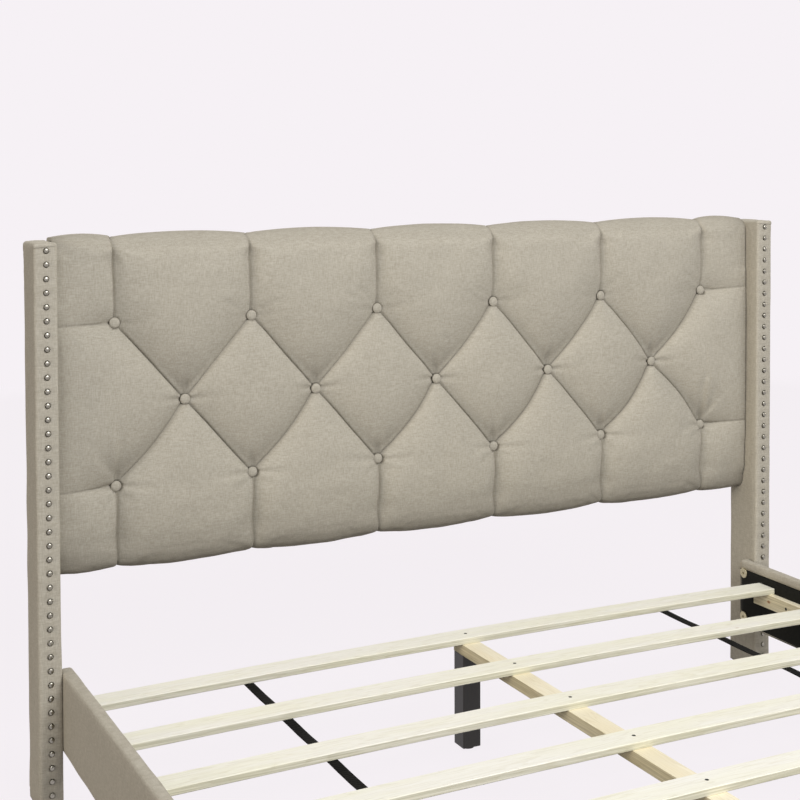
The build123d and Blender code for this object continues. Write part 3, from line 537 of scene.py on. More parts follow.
def solvePillows(levels):
    # broad crown of each pillow and the depth of the creases around it, coarse grid first
    last = None
    for n, steps in levels:
        grid = layOut(n)
        x, s = grid["x"], grid["s"]
        crease = np.any([grid[kind] for kind in foldKinds], axis=0)
        depth = creaseDepths(*np.meshgrid(x, s))
        if last:
            swell, sink = [resample(last[key], last["x"], last["s"], x, s) for key in ("swell", "sink")]
        else:
            swell, sink = np.zeros(crease.shape), np.full(crease.shape, tuft["creaseDepth"])
        held = crease | grid["ends"]
        flat = held | (pastMark(s, 2) > 0)[:, None]     # no crown behind the top edge
        swell = relax(np.where(flat, 0, swell), flat, 1 / n ** 2, steps)
        sink = relax(np.where(held, depth, sink), held, 0, steps)
        last = dict(grid, crease=crease, swell=swell, sink=sink)
    return last


def foldDistances(X, S):
    # distance to the nearest fold below a point, above it, and to its left and right
    halfX, pitchZ, far = tuft["pitchX"] / 2, tuft["pitchZ"], 400.0
    slope = halfX / np.hypot(halfX, pitchZ)
    below, above = np.full(X.shape, far), np.full(X.shape, far)
    inner = np.abs(X) <= outerButtonX
    phase = np.abs((X / halfX) % 2 - 1)   # 0 above an upper button, 1 above a middle one
    for sign in (1, -1):
        height = sign * pitchZ * np.where(inner, 1 - phase, 1.0)
        gap = (S - height) * np.where(inner, slope, 1.0)
        below = np.where(gap >= 0, np.minimum(below, gap), below)
        above = np.where(gap < 0, np.minimum(above, -gap), above)
    side = X[..., None] - (np.arange(6) - 2.5) * tuft["pitchX"]
    # a vertical fold ends at its button, so the distance grows again below it
    drop = np.maximum(pitchZ - np.abs(S), 0)
    left = np.hypot(np.where(side >= 0, side, far).min(axis=-1), drop)
    right = np.hypot(np.where(side < 0, -side, far).min(axis=-1), drop)
    return below, above, left, right


def pinchPleats(X, S):
    # short puckers that run out from the buttons, deeper ones above a button and beside it
    rng = np.random.default_rng(12)
    depth = np.zeros(X.shape)
    for bx, bs in buttonPlaces:
        near = (np.abs(X - bx) < 130) & (np.abs(S - bs) < 150)
        px, pz = X[near] - bx, S[near] - bs
        total = np.zeros(px.shape)
        pleats = list(tuft["upperPleats" if bs > 0 else "pleats"])
        pleats += [(rng.uniform(0, 360), rng.uniform(0.6, 1.3), rng.uniform(12, 24)) for _ in range(4)]
        for angle, amount, reach in pleats:
            a = math.radians(angle + rng.uniform(-5, 5))
            along, across = px * math.cos(a) + pz * math.sin(a), -px * math.sin(a) + pz * math.cos(a)
            side = across / (6.5 + np.maximum(along, 0) * 0.12)     # pleats widen as they run out
            total += (amount * np.exp(-side ** 2 / 1.6) * np.cos(side * 2.0)
                      * np.exp(-np.maximum(along - 12, 0) / reach) * smoothStep(along / 12))
        depth[near] += total * smoothStep((np.hypot(px, pz) - 8) / 6)
    return depth


def scallops(X, S):
    # the top and bottom edges are drawn in at every upright fold and at the wings
    pitch = tuft["pitchX"]
    between = np.abs(X - np.round(X / pitch) * pitch) / (pitch / 2)
    corner = (np.abs(X) - (outerButtonX + panelHalf) / 2) / ((panelHalf - outerButtonX) / 2)
    lowest = np.where(S < 0, tuft["cornerLift"], 0)
    inCorner = lowest + (tuft["cornerScallop"] - lowest) * corner ** 2
    drawn = np.where(np.abs(X) > outerButtonX, inCorner, tuft["scallop"] * between ** 2)
    return drawn * smoothStep((pastMark(S, 0) + 60) / 100) * (1 - smoothStep((pastMark(S, 3) + 12) / 14))


def edgeRoll(S):
    # the front leans back before it turns over the top and under the bottom
    above, below = S - profileMarks(1)[0], -S - profileMarks(-1)[0]
    top = tuft["topRoll"] * np.clip((above + tuft["topRollStart"]) / tuft["topRollSpan"], 0, 1.4) ** 2
    bottom = tuft["bottomRoll"] * smoothStep((below + tuft["bottomRollStart"]) / tuft["bottomRollSpan"])
    ends = [1 - smoothStep((past - start) / span) for past, (start, span) in
            ((above, tuft["topRollEnd"]), (below, tuft["bottomRollEnd"]))]
    return top * ends[0] + bottom * ends[1]


def veeDepths(X, S):
    # the foot of a pillow sinks where two folds meet above a button
    depth = np.zeros(X.shape)
    for bx, bs in buttonPlaces:
        if bs <= 0:
            px, pz = X - bx, S - bs
            sector = smoothStep((pz * tuft["pitchX"] / 2 / tuft["pitchZ"] - np.abs(px)) / tuft["veeWidth"])
            amount = tuft["veeDepth" if bs == 0 else "lowerVeeDepth"]
            depth = np.maximum(depth, amount * sector * np.exp(-np.hypot(px, pz) / tuft["veeReach"]))
    return depth


def foldBow(X, S):
    # the diagonal folds are not quite straight: they sag towards the lower right, more so on the
    # right half, where the others bulge a little towards the upper right
    halfX, halfZ = tuft["pitchX"] / 2, tuft["pitchZ"] / 2
    rightwards, upwards = 0.75, 0.66     # square to a diagonal fold
    bow = np.zeros((2,) + X.shape)
    free = smoothStep((buttonDistance(X, S) - 10) / 50)
    for i in range(-5, 5):
        for sign in (1, -1):
            cx, cz = (i + 0.5) * halfX, sign * halfZ
            across = cx / panelHalf
            if (i % 2 == 0) != (sign > 0):
                amount, up = tuft["backBow"] * max(across, 0) ** 2, upwards
            else:
                least, gain = tuft["upperBow" if sign > 0 else "lowerBow"]
                amount, up = least + gain * across, -upwards
            swell = amount * free * np.exp(-((X - cx) ** 2 + (S - cz) ** 2) / 2 / tuft["bowReach"] ** 2)
            bow[0] += rightwards * swell
            bow[1] += up * swell
    return bow


def surveyPad(levels):
    # the solved grid with all that the shape and the shade of the cloth go by
    grid = solvePillows(levels)
    X, S = np.meshgrid(grid["x"], grid["s"])
    apart = [np.hypot(X - bx, S - bs) for bx, bs in buttonPlaces]
    sideT, sink, upright = panelHalf - np.abs(X), grid["sink"], grid["upright"]
    grid.update(
        X=X, S=S, around=foldDistances(X, S), away=np.min(apart, axis=0), sideT=sideT,
        toButton=np.array(buttonPlaces)[np.argmin(apart, axis=0)] - np.stack([X, S], axis=-1),
        fade=smoothStep((6 - pastMark(S, 2)) / 30),      # nothing stands out on the back
        # the thin gap between the pad and the wings
        cleft=(sideT < tuft["cleftWidth"]) * smoothStep((25 - pastMark(S, 0)) / 30),
        # upright folds close towards the top edge, and are shallower below the lowest buttons
        shallow=np.where(upright, np.where(S > 0, smoothStep((sink - 8) / 16), tuft["lowerUpright"]), 1),
        folds=[grid[kind] for kind in foldKinds])
    return grid


def padDepth(grid):
    # how far the cloth lies below the crown outline
    X, S, away, sink = grid["X"], grid["S"], grid["away"], grid["sink"]
    below, above, left, right = grid["around"]
    share = np.maximum(grid["swell"], 0) / tuft["diamondSwell"]
    dome = np.minimum(np.tanh(0.95 * share) / math.tanh(1.8), 1.0)
    dome += (1 - dome) * smoothStep((pastMark(S, 0) + 25) / 50)      # the edges keep their full height
    flank = rise(below, tuft["belowWidth"]) * rise(above, tuft["aboveWidth"])
    flank *= rise(left, tuft["rightWidth"]) * rise(right, tuft["leftWidth"])
    crown = flank * (1 - tuft["domeShare"] + tuft["domeShare"] * dome)
    crown *= rise(np.maximum(away - tuft["pitStart"], 0), tuft["pitWidth"])
    depth = sink * (1 - np.where(grid["crease"], 0, crown)) + pinchPleats(X, S)
    slit = np.select(grid["folds"], [tuft[kind + "Slit"] for kind in foldKinds])
    depth += slit * grid["shallow"] * smoothStep((sink - 3) / 8)
    depth = np.minimum(depth + veeDepths(X, S), tuft["deepest"]) + scallops(X, S) + edgeRoll(S)
    depth += grid["fade"] * sum(ripples(X, S, *size) for size in tuft["rippleSizes"]) * crown
    # the ends come down to one straight line and close with a thin cleft against the wings
    onFront = 1 - np.where(S > 0, 0.5, 1.0) * smoothStep((pastMark(S, 0) + 20) / 50)
    depth += (tuft["endDepth"] - depth) * np.exp(-grid["sideT"] / tuft["endWidth"]) * grid["fade"] * onFront
    return depth + tuft["endCleft"] * grid["cleft"]


def padShade(grid):
    # share of painted shade on the linen: fold lines, then softer painted shade under the pillows that hang
    # over a fold, in the pocket above a button, by the wings, darker towards the bottom, along the top and
    # bottom edges, in the cleft and in a ring round each button
    X, S, away, below = grid["X"], grid["S"], grid["away"], grid["around"][0]
    slash = shades["slash"] + shades["slashGain"] * X / panelHalf + shades["lowSlash"] * (S < 0)
    lines = np.select(grid["folds"], [shades["backslash"], slash, shades["upright"], shades["level"]])
    lines = lines * grid["shallow"] * smoothStep((grid["sink"] - 4) / 10)
    pitch = tuft["pitchX"]
    pocketX = X - np.where(S > 0, np.round(X / pitch), np.floor(X / pitch) + 0.5) * pitch
    under = shades["under"] + shades["lowSlash"] * smoothStep(pocketX / 30) * (S < 0)
    soft = under * np.exp(-below / shades["underReach"]) * (np.abs(S) <= tuft["pitchZ"] * 1.2)
    soft *= 1 - 0.8 * np.exp(-away / 34) * smoothStep(grid["toButton"][..., 1] / 20 + 0.7)
    soft += shades["vee"] * veeDepths(X, S) / tuft["veeDepth"] + shades["low"] * smoothStep(-S / 200)
    soft += shades["end"] * np.exp(-grid["sideT"] / shades["endReach"]) * grid["fade"]
    past = pastMark(S, 0)
    atTop, atBottom = shades["top"] * smoothStep(past / 30), shades["bottom"] * smoothStep((past + 70) / 115)
    soft += np.where(S > 0, atTop, atBottom)
    rim = shades["rim"] * (1 - smoothStep((away - 15) / 4))
    return np.max([lines, soft, shades["cleft"] * grid["cleft"], rim], axis=0)


def shapePad(levels):
    # adds the points of the cover to the surveyed grid, and which of them the cloth simulation holds
    grid = surveyPad(levels)
    X, S, away, toButton = grid["X"], grid["S"], grid["away"], grid["toButton"]
    below, above, left, right = grid["around"]
    depth = padDepth(grid)

    def ridge(key, distance):
        amount, centre, width = tuft[key]
        return amount * bump(distance, width, centre)

    # the pillow above a diagonal or level fold hangs over it, the one below rises a little, and
    # beside a vertical fold both close in on it
    hang = ridge("sag", below) * (np.abs(S) <= tuft["pitchZ"] * 1.5)
    over = (ridge("lift", above) - hang) * smoothStep((away - 16) / 30)
    close = (ridge("pinch", right) - ridge("pinch", left)) * smoothStep((away - 16) / 20)
    over, close = [np.where(grid["crease"], 0, v) for v in (over, close)]
    # round a button the cloth closes in on the rim
    pull = ridge("buttonPinch", away) / np.maximum(away, 1)
    y, z, ny, nz = [v[:, None] for v in profilePath(grid["s"])]
    straightness = np.clip(-pastMark(S, 0) / 30, 0, 1)
    bowX, bowZ = foldBow(X, S)
    # the upright folds lean to the left towards the top edge
    outward = X / panelHalf
    climb = np.clip((S - tuft["pitchZ"]) / (profileMarks(1)[1] - tuft["pitchZ"]), 0, 1)
    bowX -= (tuft["lean"] - tuft["leanGain"] * outward) * climb * grid["fade"] * (1 - outward ** 8)
    # and the level folds rise towards the right wing
    rightEnd = smoothStep((X - outerButtonX) / (panelHalf - outerButtonX))
    bowZ += tuft["endRise"] * rightEnd * bump(np.abs(S), tuft["endRiseWidth"], tuft["pitchZ"])
    P = np.empty(X.shape + (3,))
    P[..., 0] = X + ripples(X, S, *tuft["sideways"]) * (1 - np.abs(outward)) + close
    P[..., 0] += toButton[..., 0] * pull + bowX
    P[..., 1] = y - ny * depth
    P[..., 2] = z - nz * depth + (over + ripples(X, S, *tuft["upward"])) * straightness
    P[..., 2] += toButton[..., 1] * pull + bowZ
    grid["held"] = grid["crease"] | (away < 17) | (grid["sideT"] < 6) | (pastMark(S, 3) > -6)
    grid["points"] = P
    return grid


def simulatePad(levels):
    # air pressure in the slack cloth between the folds, on a coarser grid; returns the grid and shift
    grid = shapePad(levels)
    P = grid["points"]
    trial = newPiece("trial_cover", P.reshape(-1, 3), gridFaces(*P.shape[:2]))
    moved = simulateCloth(trial, grid["held"].reshape(-1), tuft["swellCap"])
    bpy.data.objects.remove(trial)
    return grid, moved.reshape(P.shape) - P


def padFaces(grid, rows, cols):
    # quads, split along the crease where a diagonal fold passes
    slash, backslash, faces = grid["slash"], grid["backslash"], []
    for r in range(rows - 1):
        for c in range(cols - 1):
            a, b = r * cols + c, r * cols + c + 1
            d, e = a + cols, b + cols
            if slash[r, c] and slash[r + 1, c + 1]:
                faces += [(a, b, e), (a, e, d)]
            elif backslash[r, c + 1] and backslash[r + 1, c]:
                faces += [(a, b, d), (b, e, d)]
            else:
                faces.append((a, b, e, d))
    return faces


def makePad():
    coarse = [(5, 300), (11, 200), (22, 200)]     # divisions and steps of each level
    grid = shapePad(coarse + [(tuft["divisions"], 200)])
    P = grid["points"]
    trial, shift = simulatePad(coarse)
    layouts = trial["x"], trial["s"], grid["x"], grid["s"]
    shift = np.stack([resample(shift[..., i], *layouts) for i in range(3)], axis=-1)
    P += np.where(grid["held"][..., None], 0, shift)
    rows, cols = P.shape[:2]
    points, faces = list(P.reshape(-1, 3)), padFaces(grid, rows, cols)
    # inner layer that clears the board and the frame, joined at the lips and the ends
    wrapLow, wrapHigh = boxOf("headboard_edge_wrap")
    lip, inside = railBack + 0.35, boardFront - 0.5
    turn = [(lip, 30), (lip, 3), (lip - 4, 0.5), (boardFront + 3, 0.5), (inside, 5)]
    inner = [(y, wrapLow.z + d) for y, d in turn] + [(inside, middleRowZ)]
    inner += [(y, wrapHigh.z - d) for y, d in turn[::-1]]
    start, m = len(points), len(inner)
    for y, z in inner:
        points += [(x, y, z) for x in P[0, :, 0]]
    faces += [f[::-1] for f in gridFaces(m, cols, start)]
    for c in range(cols - 1):
        faces.append((c + 1, c, start + c, start + c + 1))
        top, innerTop = (rows - 1) * cols + c, start + (m - 1) * cols + c
        faces.append((top, top + 1, innerTop + 1, innerTop))
    for c, way in ((0, 1), (cols - 1, -1)):
        for r in range(rows - 1):
            i, i2 = [start + min(m - 1, row * m // (rows - 1)) * cols + c for row in (r, r + 1)]
            faces.append((r * cols + c, (r + 1) * cols + c, i2)[::way])
            if i2 != i:
                faces.append((r * cols + c, i2, i)[::way])
    # painted shade for the linen of the cover; the inner layer gets none
    shade = np.zeros(len(points))
    shade[:start] = padShade(grid).reshape(-1)
    pad = newPiece("headboard_tufted_cover", points, faces, attributes={"paintedShade": shade})
    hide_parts("headboard_tufted_pad", "headboard_edge_wrap")
    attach(pad, "root")
    print("tufted cover made:", len(points), "points")


makePad()


def addCap(points, faces, place, rings, topHeight, tilt, sides):
    # a turned cap that faces -Y: its top point, rings of (radius, height) and a flat back
    x, y, z = place
    start = len(points)
    points.append((x, y - topHeight, z))
    for radius, height in rings:
        for i in range(sides):
            a = 2 * math.pi * i / sides
            px, pz = radius * math.cos(a), radius * math.sin(a)
            points.append((x + px, y - height - tilt[0] * px - tilt[1] * pz, z + pz))
    faces += [(start, start + 1 + i, start + 1 + (i + 1) % sides) for i in range(sides)]
    faces += [f[::-1] for f in gridFaces(len(rings), sides, start + 1, wrap=True)]
    faces.append(tuple(start + len(rings) * sides - i for i in range(sides)))


# Covered buttons: a domed cap with the linen drawn round its rim
button = {"radius": 13.0, "dome": 5.6, "rim": 4.4, "sides": 32, "aboveBoard": 6.3, "tilt": 0.05,
          "rimShade": 0.5, "shadeBelow": 5.94}


def makeButtons():
    rng = np.random.default_rng(5)
    radius, dome, rim, sides = [button[key] for key in ("radius", "dome", "rim", "sides")]
    rings = [(radius * math.sin(a), rim + dome * math.cos(a)) for a in np.linspace(0.16, 1.4, 9)]
    rings += [(radius, rim * 0.8), (radius * 0.985, rim * 0.35), (radius * 0.9, 0.0), (radius * 0.5, -0.1)]
    points, faces = [], []
    for bx, bs in buttonPlaces:
        tilt = rng.uniform(-button["tilt"], button["tilt"], 2)
        place = bx, boardFront - button["aboveBoard"], middleRowZ + bs
        addCap(points, faces, place, rings, rim + dome, tilt, sides)
    # painted shade: the lower edge of each dome and its rim are painted dark, where the cloth drawn round
    # the button shades it
    dark = [0.0 if r < 0.9 * radius or h > button["shadeBelow"] else button["rimShade"] for r, h in rings]
    shade = ([0.0] + [v for v in dark for _ in range(sides)]) * len(buttonPlaces)
    buttons = newPiece("headboard_covered_buttons", points, faces, attributes={"paintedShade": shade})
    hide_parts("headboard_buttons")
    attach(buttons, "root")


makeButtons()
print("buttons made")


def giveThickness(piece, thickness):
    # doubles the fabric inwards and applies it, so that the mesh is closed and final
    modifier = piece.modifiers.new("thickness", "SOLIDIFY")
    modifier.thickness, modifier.offset = thickness * mm, -1.0
    made = bpy.data.meshes.new_from_object(piece.evaluated_get(bpy.context.evaluated_depsgraph_get()))
    piece.modifiers.remove(modifier)
    old, name = piece.data, piece.data.name
    piece.data = made
    bpy.data.meshes.remove(old)
    made.name = name


def edgeMarks(low, high, radius, step):
    # places along one edge of a box, close together where the corners round off
    corner = [radius * share for share in (0, 0.3, 0.62)]
    count = max(1, round((high - low - 2 * radius) / step))
    middle = np.linspace(low + radius, high - radius, count + 1)
    return np.concatenate([[low + c for c in corner], middle, [high - c for c in corner[::-1]]])


def boxSkin(low, high, look, keep, extraZ=()):
    # rounded skin of a box in quads; keep(centres, axis, sign) says which faces it has
    radius = look["radius"]
    marks = [edgeMarks(low[i], high[i], radius, look["steps"][i]) for i in range(3)]
    if len(extraZ):
        spare = [z for z in marks[2] if np.abs(np.asarray(extraZ) - z).min() > 0.6]
        marks[2] = np.sort(np.concatenate([spare, extraZ]))
    points, faces = [], []
    for axis in range(3):
        u, v = (axis + 1) % 3, (axis + 2) % 3
        for sign in (-1, 1):
            side = np.zeros((len(marks[v]), len(marks[u]), 3))
            side[..., axis] = high[axis] if sign > 0 else low[axis]
            side[..., u], side[..., v] = np.meshgrid(marks[u], marks[v])
            made = np.array(gridFaces(len(marks[v]), len(marks[u])))[:, ::sign]
            flat = side.reshape(-1, 3)
            made = made[keep(flat[made].mean(axis=1), axis, sign)]
            faces.append(made + sum(len(p) for p in points))
            points.append(flat)
    points, faces = np.concatenate(points), np.concatenate(faces)
    _, first, where = np.unique(np.round(points, 3), axis=0, return_index=True, return_inverse=True)
    faces = where.reshape(-1)[faces]
    used = np.unique(faces)
    renumber = np.zeros(len(first), int)
    renumber[used] = np.arange(len(used))
    points, faces = points[first][used], renumber[faces]
    inner = np.clip(points, np.array(low) + radius, np.array(high) - radius)
    out = points - inner
    size = np.linalg.norm(out, axis=1, keepdims=True)
    corner = (np.abs(out) > 1e-6).sum(axis=1, keepdims=True) > 1
    return np.where(corner, inner + out / np.maximum(size, 1e-9) * radius, points), faces


def skinBox(node, look):
    # the CAD cover's box, and the one of its skin, which leaves room for the swelling
    low, high = boxOf(node)
    return low, high, np.array(low) + look["inLow"], np.array(high) - look["inHigh"]


def standingSkin(skinLow, skinHigh, look, extraZ=()):
    # starts one radius too low and is cut off level, so it runs straight down to its open end
    start = skinLow - (0, 0, look["radius"])
    return boxSkin(start, skinHigh, look, lambda centre, axis, sign: centre[:, 2] > skinLow[2], extraZ)


def startCover(node, skin, pinned, swell):
    cover = newPiece(node + "_linen", *skin)
    return cover, simulateCloth(cover, pinned, swell)


def finishCover(cover, points, node, thickness=1.5, twin=None):
    # twin is the node of the mirrored cover on the other side of the bed
    cover.data.vertices.foreach_set("co", (points * mm).ravel().astype(np.float32))
    cover.data.update()
    giveThickness(cover, thickness)
    made = [(cover, node)]
    if twin:
        faces = [tuple(reversed(p.vertices)) for p in cover.data.polygons]
        made.append((newPiece(twin + "_linen", readPoints(cover) * (-1, 1, 1), faces), twin))
    for piece, stand in made:
        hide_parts(stand)
        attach(piece, "root")


# Wing covers: thin foam under linen, drawn in at every nail, with the top folded over like a parcel
wing = {"radius": 7.0, "steps": (8.0, 8.0, 5.0), "inLow": (0.2, 0.7, 0.2), "inHigh": (0.9, 0.9, 0.9),
        "swell": 1.6, "nailPull": 1.5, "nailPullReach": 9.0, "foldDrop": 9.5, "foldSlope": 0.08,
        "foldThickness": 1.0, "seamFromEdge": 13, "seamDepth": 1.3, "seamWidth": 2.5}
nail = {"count": 40, "span": 7.5, "radius": 7.0, "dome": 3.8, "sides": 20, "sunk": 0.4, "shift": 0.4,
        "tilt": 0.06}


def nailPlaces(side):
    low, high = boxOf(side + "_wing_nailheads")
    return (low.x + high.x) / 2, np.linspace(high.z - nail["span"], low.z + nail["span"], nail["count"])


def makeWings():
    low, high, skinLow, skinHigh = skinBox("right_wing_cover", wing)
    skin = standingSkin(skinLow, skinHigh, wing, high.z - np.arange(7.4, 16.0, 1.0))
    x, y, z = skin[0].T
    inner = x < skinLow[0] + 0.5
    pinned = (z < low.z + 12) | inner & ((y > low.y + 38) | (z < 330))
    cover, p = startCover("right_wing_cover", skin, pinned, wing["swell"])
    p[:, 0] = np.maximum(p[:, 0], low.x + 0.1)       # flat where the panel and the rail press on it
    nailX, heights = nailPlaces("right")
    front, back, outer = y < low.y + 7, y > high.y - 7, x > high.x - 7
    near = np.min([np.hypot(p[:, 0] - nailX, p[:, 2] - height) for height in heights], axis=0)
    p[:, 1] += front * wing["nailPull"] * bump(near, wing["nailPullReach"])
    # the top flap is folded forward over the front and tucked in at its lower edge
    aboveFlap = p[:, 2] - (high.z - wing["foldDrop"] - wing["foldSlope"] * (p[:, 0] - low.x))
    flap = smoothStep(aboveFlap / 1.2) - 0.8 * bump(aboveFlap, 1.6, -0.8)
    p[:, 1] -= front * wing["foldThickness"] * flap
    p[:, 1] -= back * wing["seamDepth"] * bump(p[:, 0] - low.x, wing["seamWidth"], wing["seamFromEdge"])
    p[:, 1] += front * ripples(p[:, 0], p[:, 2], 40, 110, 0.3)
    p[:, 1] += back * ripples(p[:, 0], p[:, 2], 41, 130, 0.4)
    p[:, 0] += outer * ripples(p[:, 1], p[:, 2], 42, 140, 0.5)
    finishCover(cover, p, "right_wing_cover", twin="left_wing_cover")


def makeNails(side):
    x, heights = nailPlaces(side)
    base = boxOf(side + "_wing_cover")[0].y + nail["sunk"]
    radius, dome, sides = nail["radius"], nail["dome"], nail["sides"]
    rings = [(radius * math.sin(a), dome * math.cos(a)) for a in np.linspace(0.18, 1.36, 7)]
    rings += [(radius, 0.25), (radius * 0.96, -0.25), (radius * 0.7, -0.4)]
    points, faces = [], []
    rng = np.random.default_rng(9 if side == "left" else 10)
    for z in heights:
        dx, dz = rng.uniform(-nail["shift"], nail["shift"], 2)
        tilt = rng.uniform(-nail["tilt"], nail["tilt"], 2)
        addCap(points, faces, (x + dx, base, z + dz), rings, dome, tilt, sides)
    crown = ([1.0] + [max(h, 0) / dome for _, h in rings for _ in range(sides)]) * len(heights)
    nails = newPiece(side + "_pewter_nails", points, faces, "pewter_nails", {"crown": crown})
    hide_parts(side + "_wing_nailheads")
    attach(nails, "root")


makeWings()
makeNails("left")
makeNails("right")
print("wings made")


# Side rail, footboard and foot post covers: linen over thin foam, open inside where the black
# cloth is stapled
rail = {"radius": 8.0, "steps": (7.0, 10.0, 8.0), "inLow": (0, 0.1, 0.1), "inHigh": (0.6, 0.3, 0.8),
        "swell": 2.0, "flap": 25.0, "freeHalf": 955, "tightUpTo": 12, "tightness": 0.75}
footboard = {"radius": 10.0, "steps": (11.0, 8.0, 8.0), "inLow": (0.8, 1.4, 0.1), "inHigh": (0.8, 0, 0.8),
             "swell": 3.0, "tightUpTo": 14, "tightness": 0.8}
footPost = {"radius": 6.0, "steps": (7.0, 7.0, 7.0), "inLow": (0.2, 0.1, 0.2), "inHigh": (0.9, 0.9, 0.9),
            "swell": 1.6, "toCore": 1.4, "seamFromEdge": 12, "seamDepth": 1.2, "seamWidth": 2.5}


def makeRails():
    low, high, skinLow, skinHigh = skinBox("right_rail_cover", rail)

    def keep(centre, axis, sign):
        opening = (centre[:, 2] > low.z + 5) & (centre[:, 2] < high.z - rail["flap"] - 2)
        opening &= (centre[:, 1] > low.y + 5) & (centre[:, 1] < high.y - 5)
        return ~(opening & (axis == 0 and sign < 0))

    points, faces = boxSkin(skinLow, skinHigh, rail, keep)
    # only the upper corners are padded enough to be round; the lower ones are tight on the board
    tight = 1 - rail["tightness"] * np.clip(1 - (points[:, 2] - low.z) / rail["tightUpTo"], 0, 1)
    centreX, halfX = (skinLow[0] + skinHigh[0]) / 2, (skinHigh[0] - skinLow[0]) / 2
    across = points[:, 0] - centreX
    points[:, 0] = centreX + np.sign(across) * halfX * (np.abs(across) / halfX) ** tight
    x, y, z = points.T
    pinned = (z < low.z + 4) | (x < low.x + 3) | (y > high.y - 9) | (y < low.y + 9)
    cover, p = startCover("right_rail_cover", (points, faces), pinned, rail["swell"])
    beside = np.abs(p[:, 1]) > rail["freeHalf"]      # pressed flat by the wing and the foot post
    p[:, 0] = np.where(beside, np.minimum(p[:, 0], high.x + 0.1), p[:, 0])
    p[:, 0] += (x > high.x - 8) * ~beside * ripples(p[:, 1], p[:, 2], 50, 150, 0.5)
    p[:, 2] += (z > high.z - 8) * ripples(p[:, 1], p[:, 0], 51, 120, 0.5)
    p[:, 0] = np.maximum(p[:, 0], low.x)
    finishCover(cover, p, "right_rail_cover", 1.4, "left_rail_cover")


def makeFootboard():
    low, high, skinLow, skinHigh = skinBox("footboard_cover", footboard)

    def keep(centre, axis, sign):
        opening = (centre[:, 2] > low.z + 3) & (centre[:, 2] < high.z - rail["flap"] - 2)
        opening &= np.abs(centre[:, 0]) < high.x - 6
        return ~(opening & (axis == 1 and sign > 0))

    points, faces = boxSkin(skinLow, skinHigh, footboard, keep)
    x, y, z = points.T
    lower = footboard["tightness"] * np.clip(1 - (z - low.z) / footboard["tightUpTo"], 0, 1)
    points[:, 1] = np.where(y > high.y - 12, y + (high.y - y) * lower, y)
    pinned = (z < low.z + 3) | (y > high.y - 3)
    cover, p = startCover("footboard_cover", (points, faces), pinned, footboard["swell"])
    p[:, 1] += (y < low.y + 11) * ripples(p[:, 0], p[:, 2], 60, 170, 0.6)
    p[:, 2] += (z > high.z - 10) * ripples(p[:, 0], p[:, 1], 61, 140, 0.5)
    p[:, 1] = np.minimum(p[:, 1], high.y)
    finishCover(cover, p, "footboard_cover")


def makeFootPosts():
    low, high, skinLow, skinHigh = skinBox("right_foot_post_cover", footPost)
    skin = standingSkin(skinLow, skinHigh, footPost)
    x, y, z = skin[0].T
    pinned = (z < low.z + 10) | (y < low.y + 2) | (x < low.x + 0.6)
    cover, p = startCover("right_foot_post_cover", skin, pinned, footPost["swell"])
    p[:, 0], p[:, 1] = np.maximum(p[:, 0], low.x + 0.1), np.maximum(p[:, 1], low.y)
    # below the footboard the linen passes in front of the timber core
    underBoard = boxOf("footboard_cover")[0].z - 2 - p[:, 2]
    p[:, 1] -= footPost["toCore"] * smoothStep(underBoard / 5) * np.clip(1 - (y - low.y) / 7, 0, 1)
    seam = bump(p[:, 0] - low.x, footPost["seamWidth"], footPost["seamFromEdge"])
    p[:, 1] -= (y > high.y - 6) * footPost["seamDepth"] * seam
    finishCover(cover, p, "right_foot_post_cover", twin="left_foot_post_cover")


makeRails()
makeFootboard()
makeFootPosts()
print("rail, footboard and foot post covers made")


# Black cloths: dust cover on the headboard's back, lining inside the rails and the footboard,
# and the tapes that hold the slats
backCloth = {"slot": "black_lining", "step": 12.0, "thickness": 0.7, "lift": 0.75, "hem": 11.0,
             "hemRise": 0.6, "sag": 2.6, "railWidth": 60, "stileHalf": 32, "innerStile": 0.267}
lining = {"slot": "black_lining", "step": 14.0, "thickness": 0.56, "lift": 0.1, "ripple": 0.25}
tape = {"slot": "black_webbing", "step": 4.0, "thickness": 1.2, "hang": 1.2, "curl": 0.25, "ripple": 0.12}
slats = ["slat_" + str(i) for i in range(1, 9)]


def makeSheet(name, node, look, uRange, vRange, place):
    # place(U, V) gives the points; u and v run along the cloth in millimetres
    across, along = abs(uRange[1] - uRange[0]), vRange[1] - vRange[0]
    u = np.linspace(*uRange, max(3, round(across / look["step"]) + 1))
    v = np.linspace(*vRange, max(3, round(along / look["step"]) + 1))
    points = np.stack(place(*np.meshgrid(u, v)), axis=-1).reshape(-1, 3)
    piece = newPiece(name, points, gridFaces(len(v), len(u)), look["slot"])
    giveThickness(piece, look["thickness"])
    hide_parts(node)
    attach(piece, "root")


def makeBackCloth():
    low, high = boxOf("headboard_back_cloth")
    stileX = boxOf("headboard_frame_stiles")[1].x - 30      # middle of the outermost stile

    def place(U, V):
        # the cloth sags in the bays between the rails and the stiles behind it
        bays = np.minimum(V - low.z, high.z - V) - backCloth["railWidth"]
        fromInner = np.abs(np.abs(U) - stileX * backCloth["innerStile"])
        inBay = np.minimum(fromInner, stileX - 30 - np.abs(U)) - backCloth["stileHalf"]
        sag = backCloth["sag"] * smoothStep(bays / 120) * smoothStep(inBay / 110)
        # the edges are folded under, so a band along them stands a little higher
        edge = np.minimum(np.minimum(U - low.x, high.x - U), np.minimum(V - low.z, high.z - V))
        hem = backCloth["hemRise"] * smoothStep((backCloth["hem"] - edge) / 3)
        wavy = ripples(U, V, 70, 160, 0.3) * smoothStep(bays / 60)
        return U, high.y + backCloth["lift"] + hem - sag + wavy, V

    makeSheet("headboard_back_lining", "headboard_back_cloth", backCloth, (low.x, high.x), (low.z, high.z),
              place)


def liningLift(U, V, seed):
    return lining["lift"] + np.maximum(ripples(U, V, seed, 130, lining["ripple"]) + 0.3, 0)


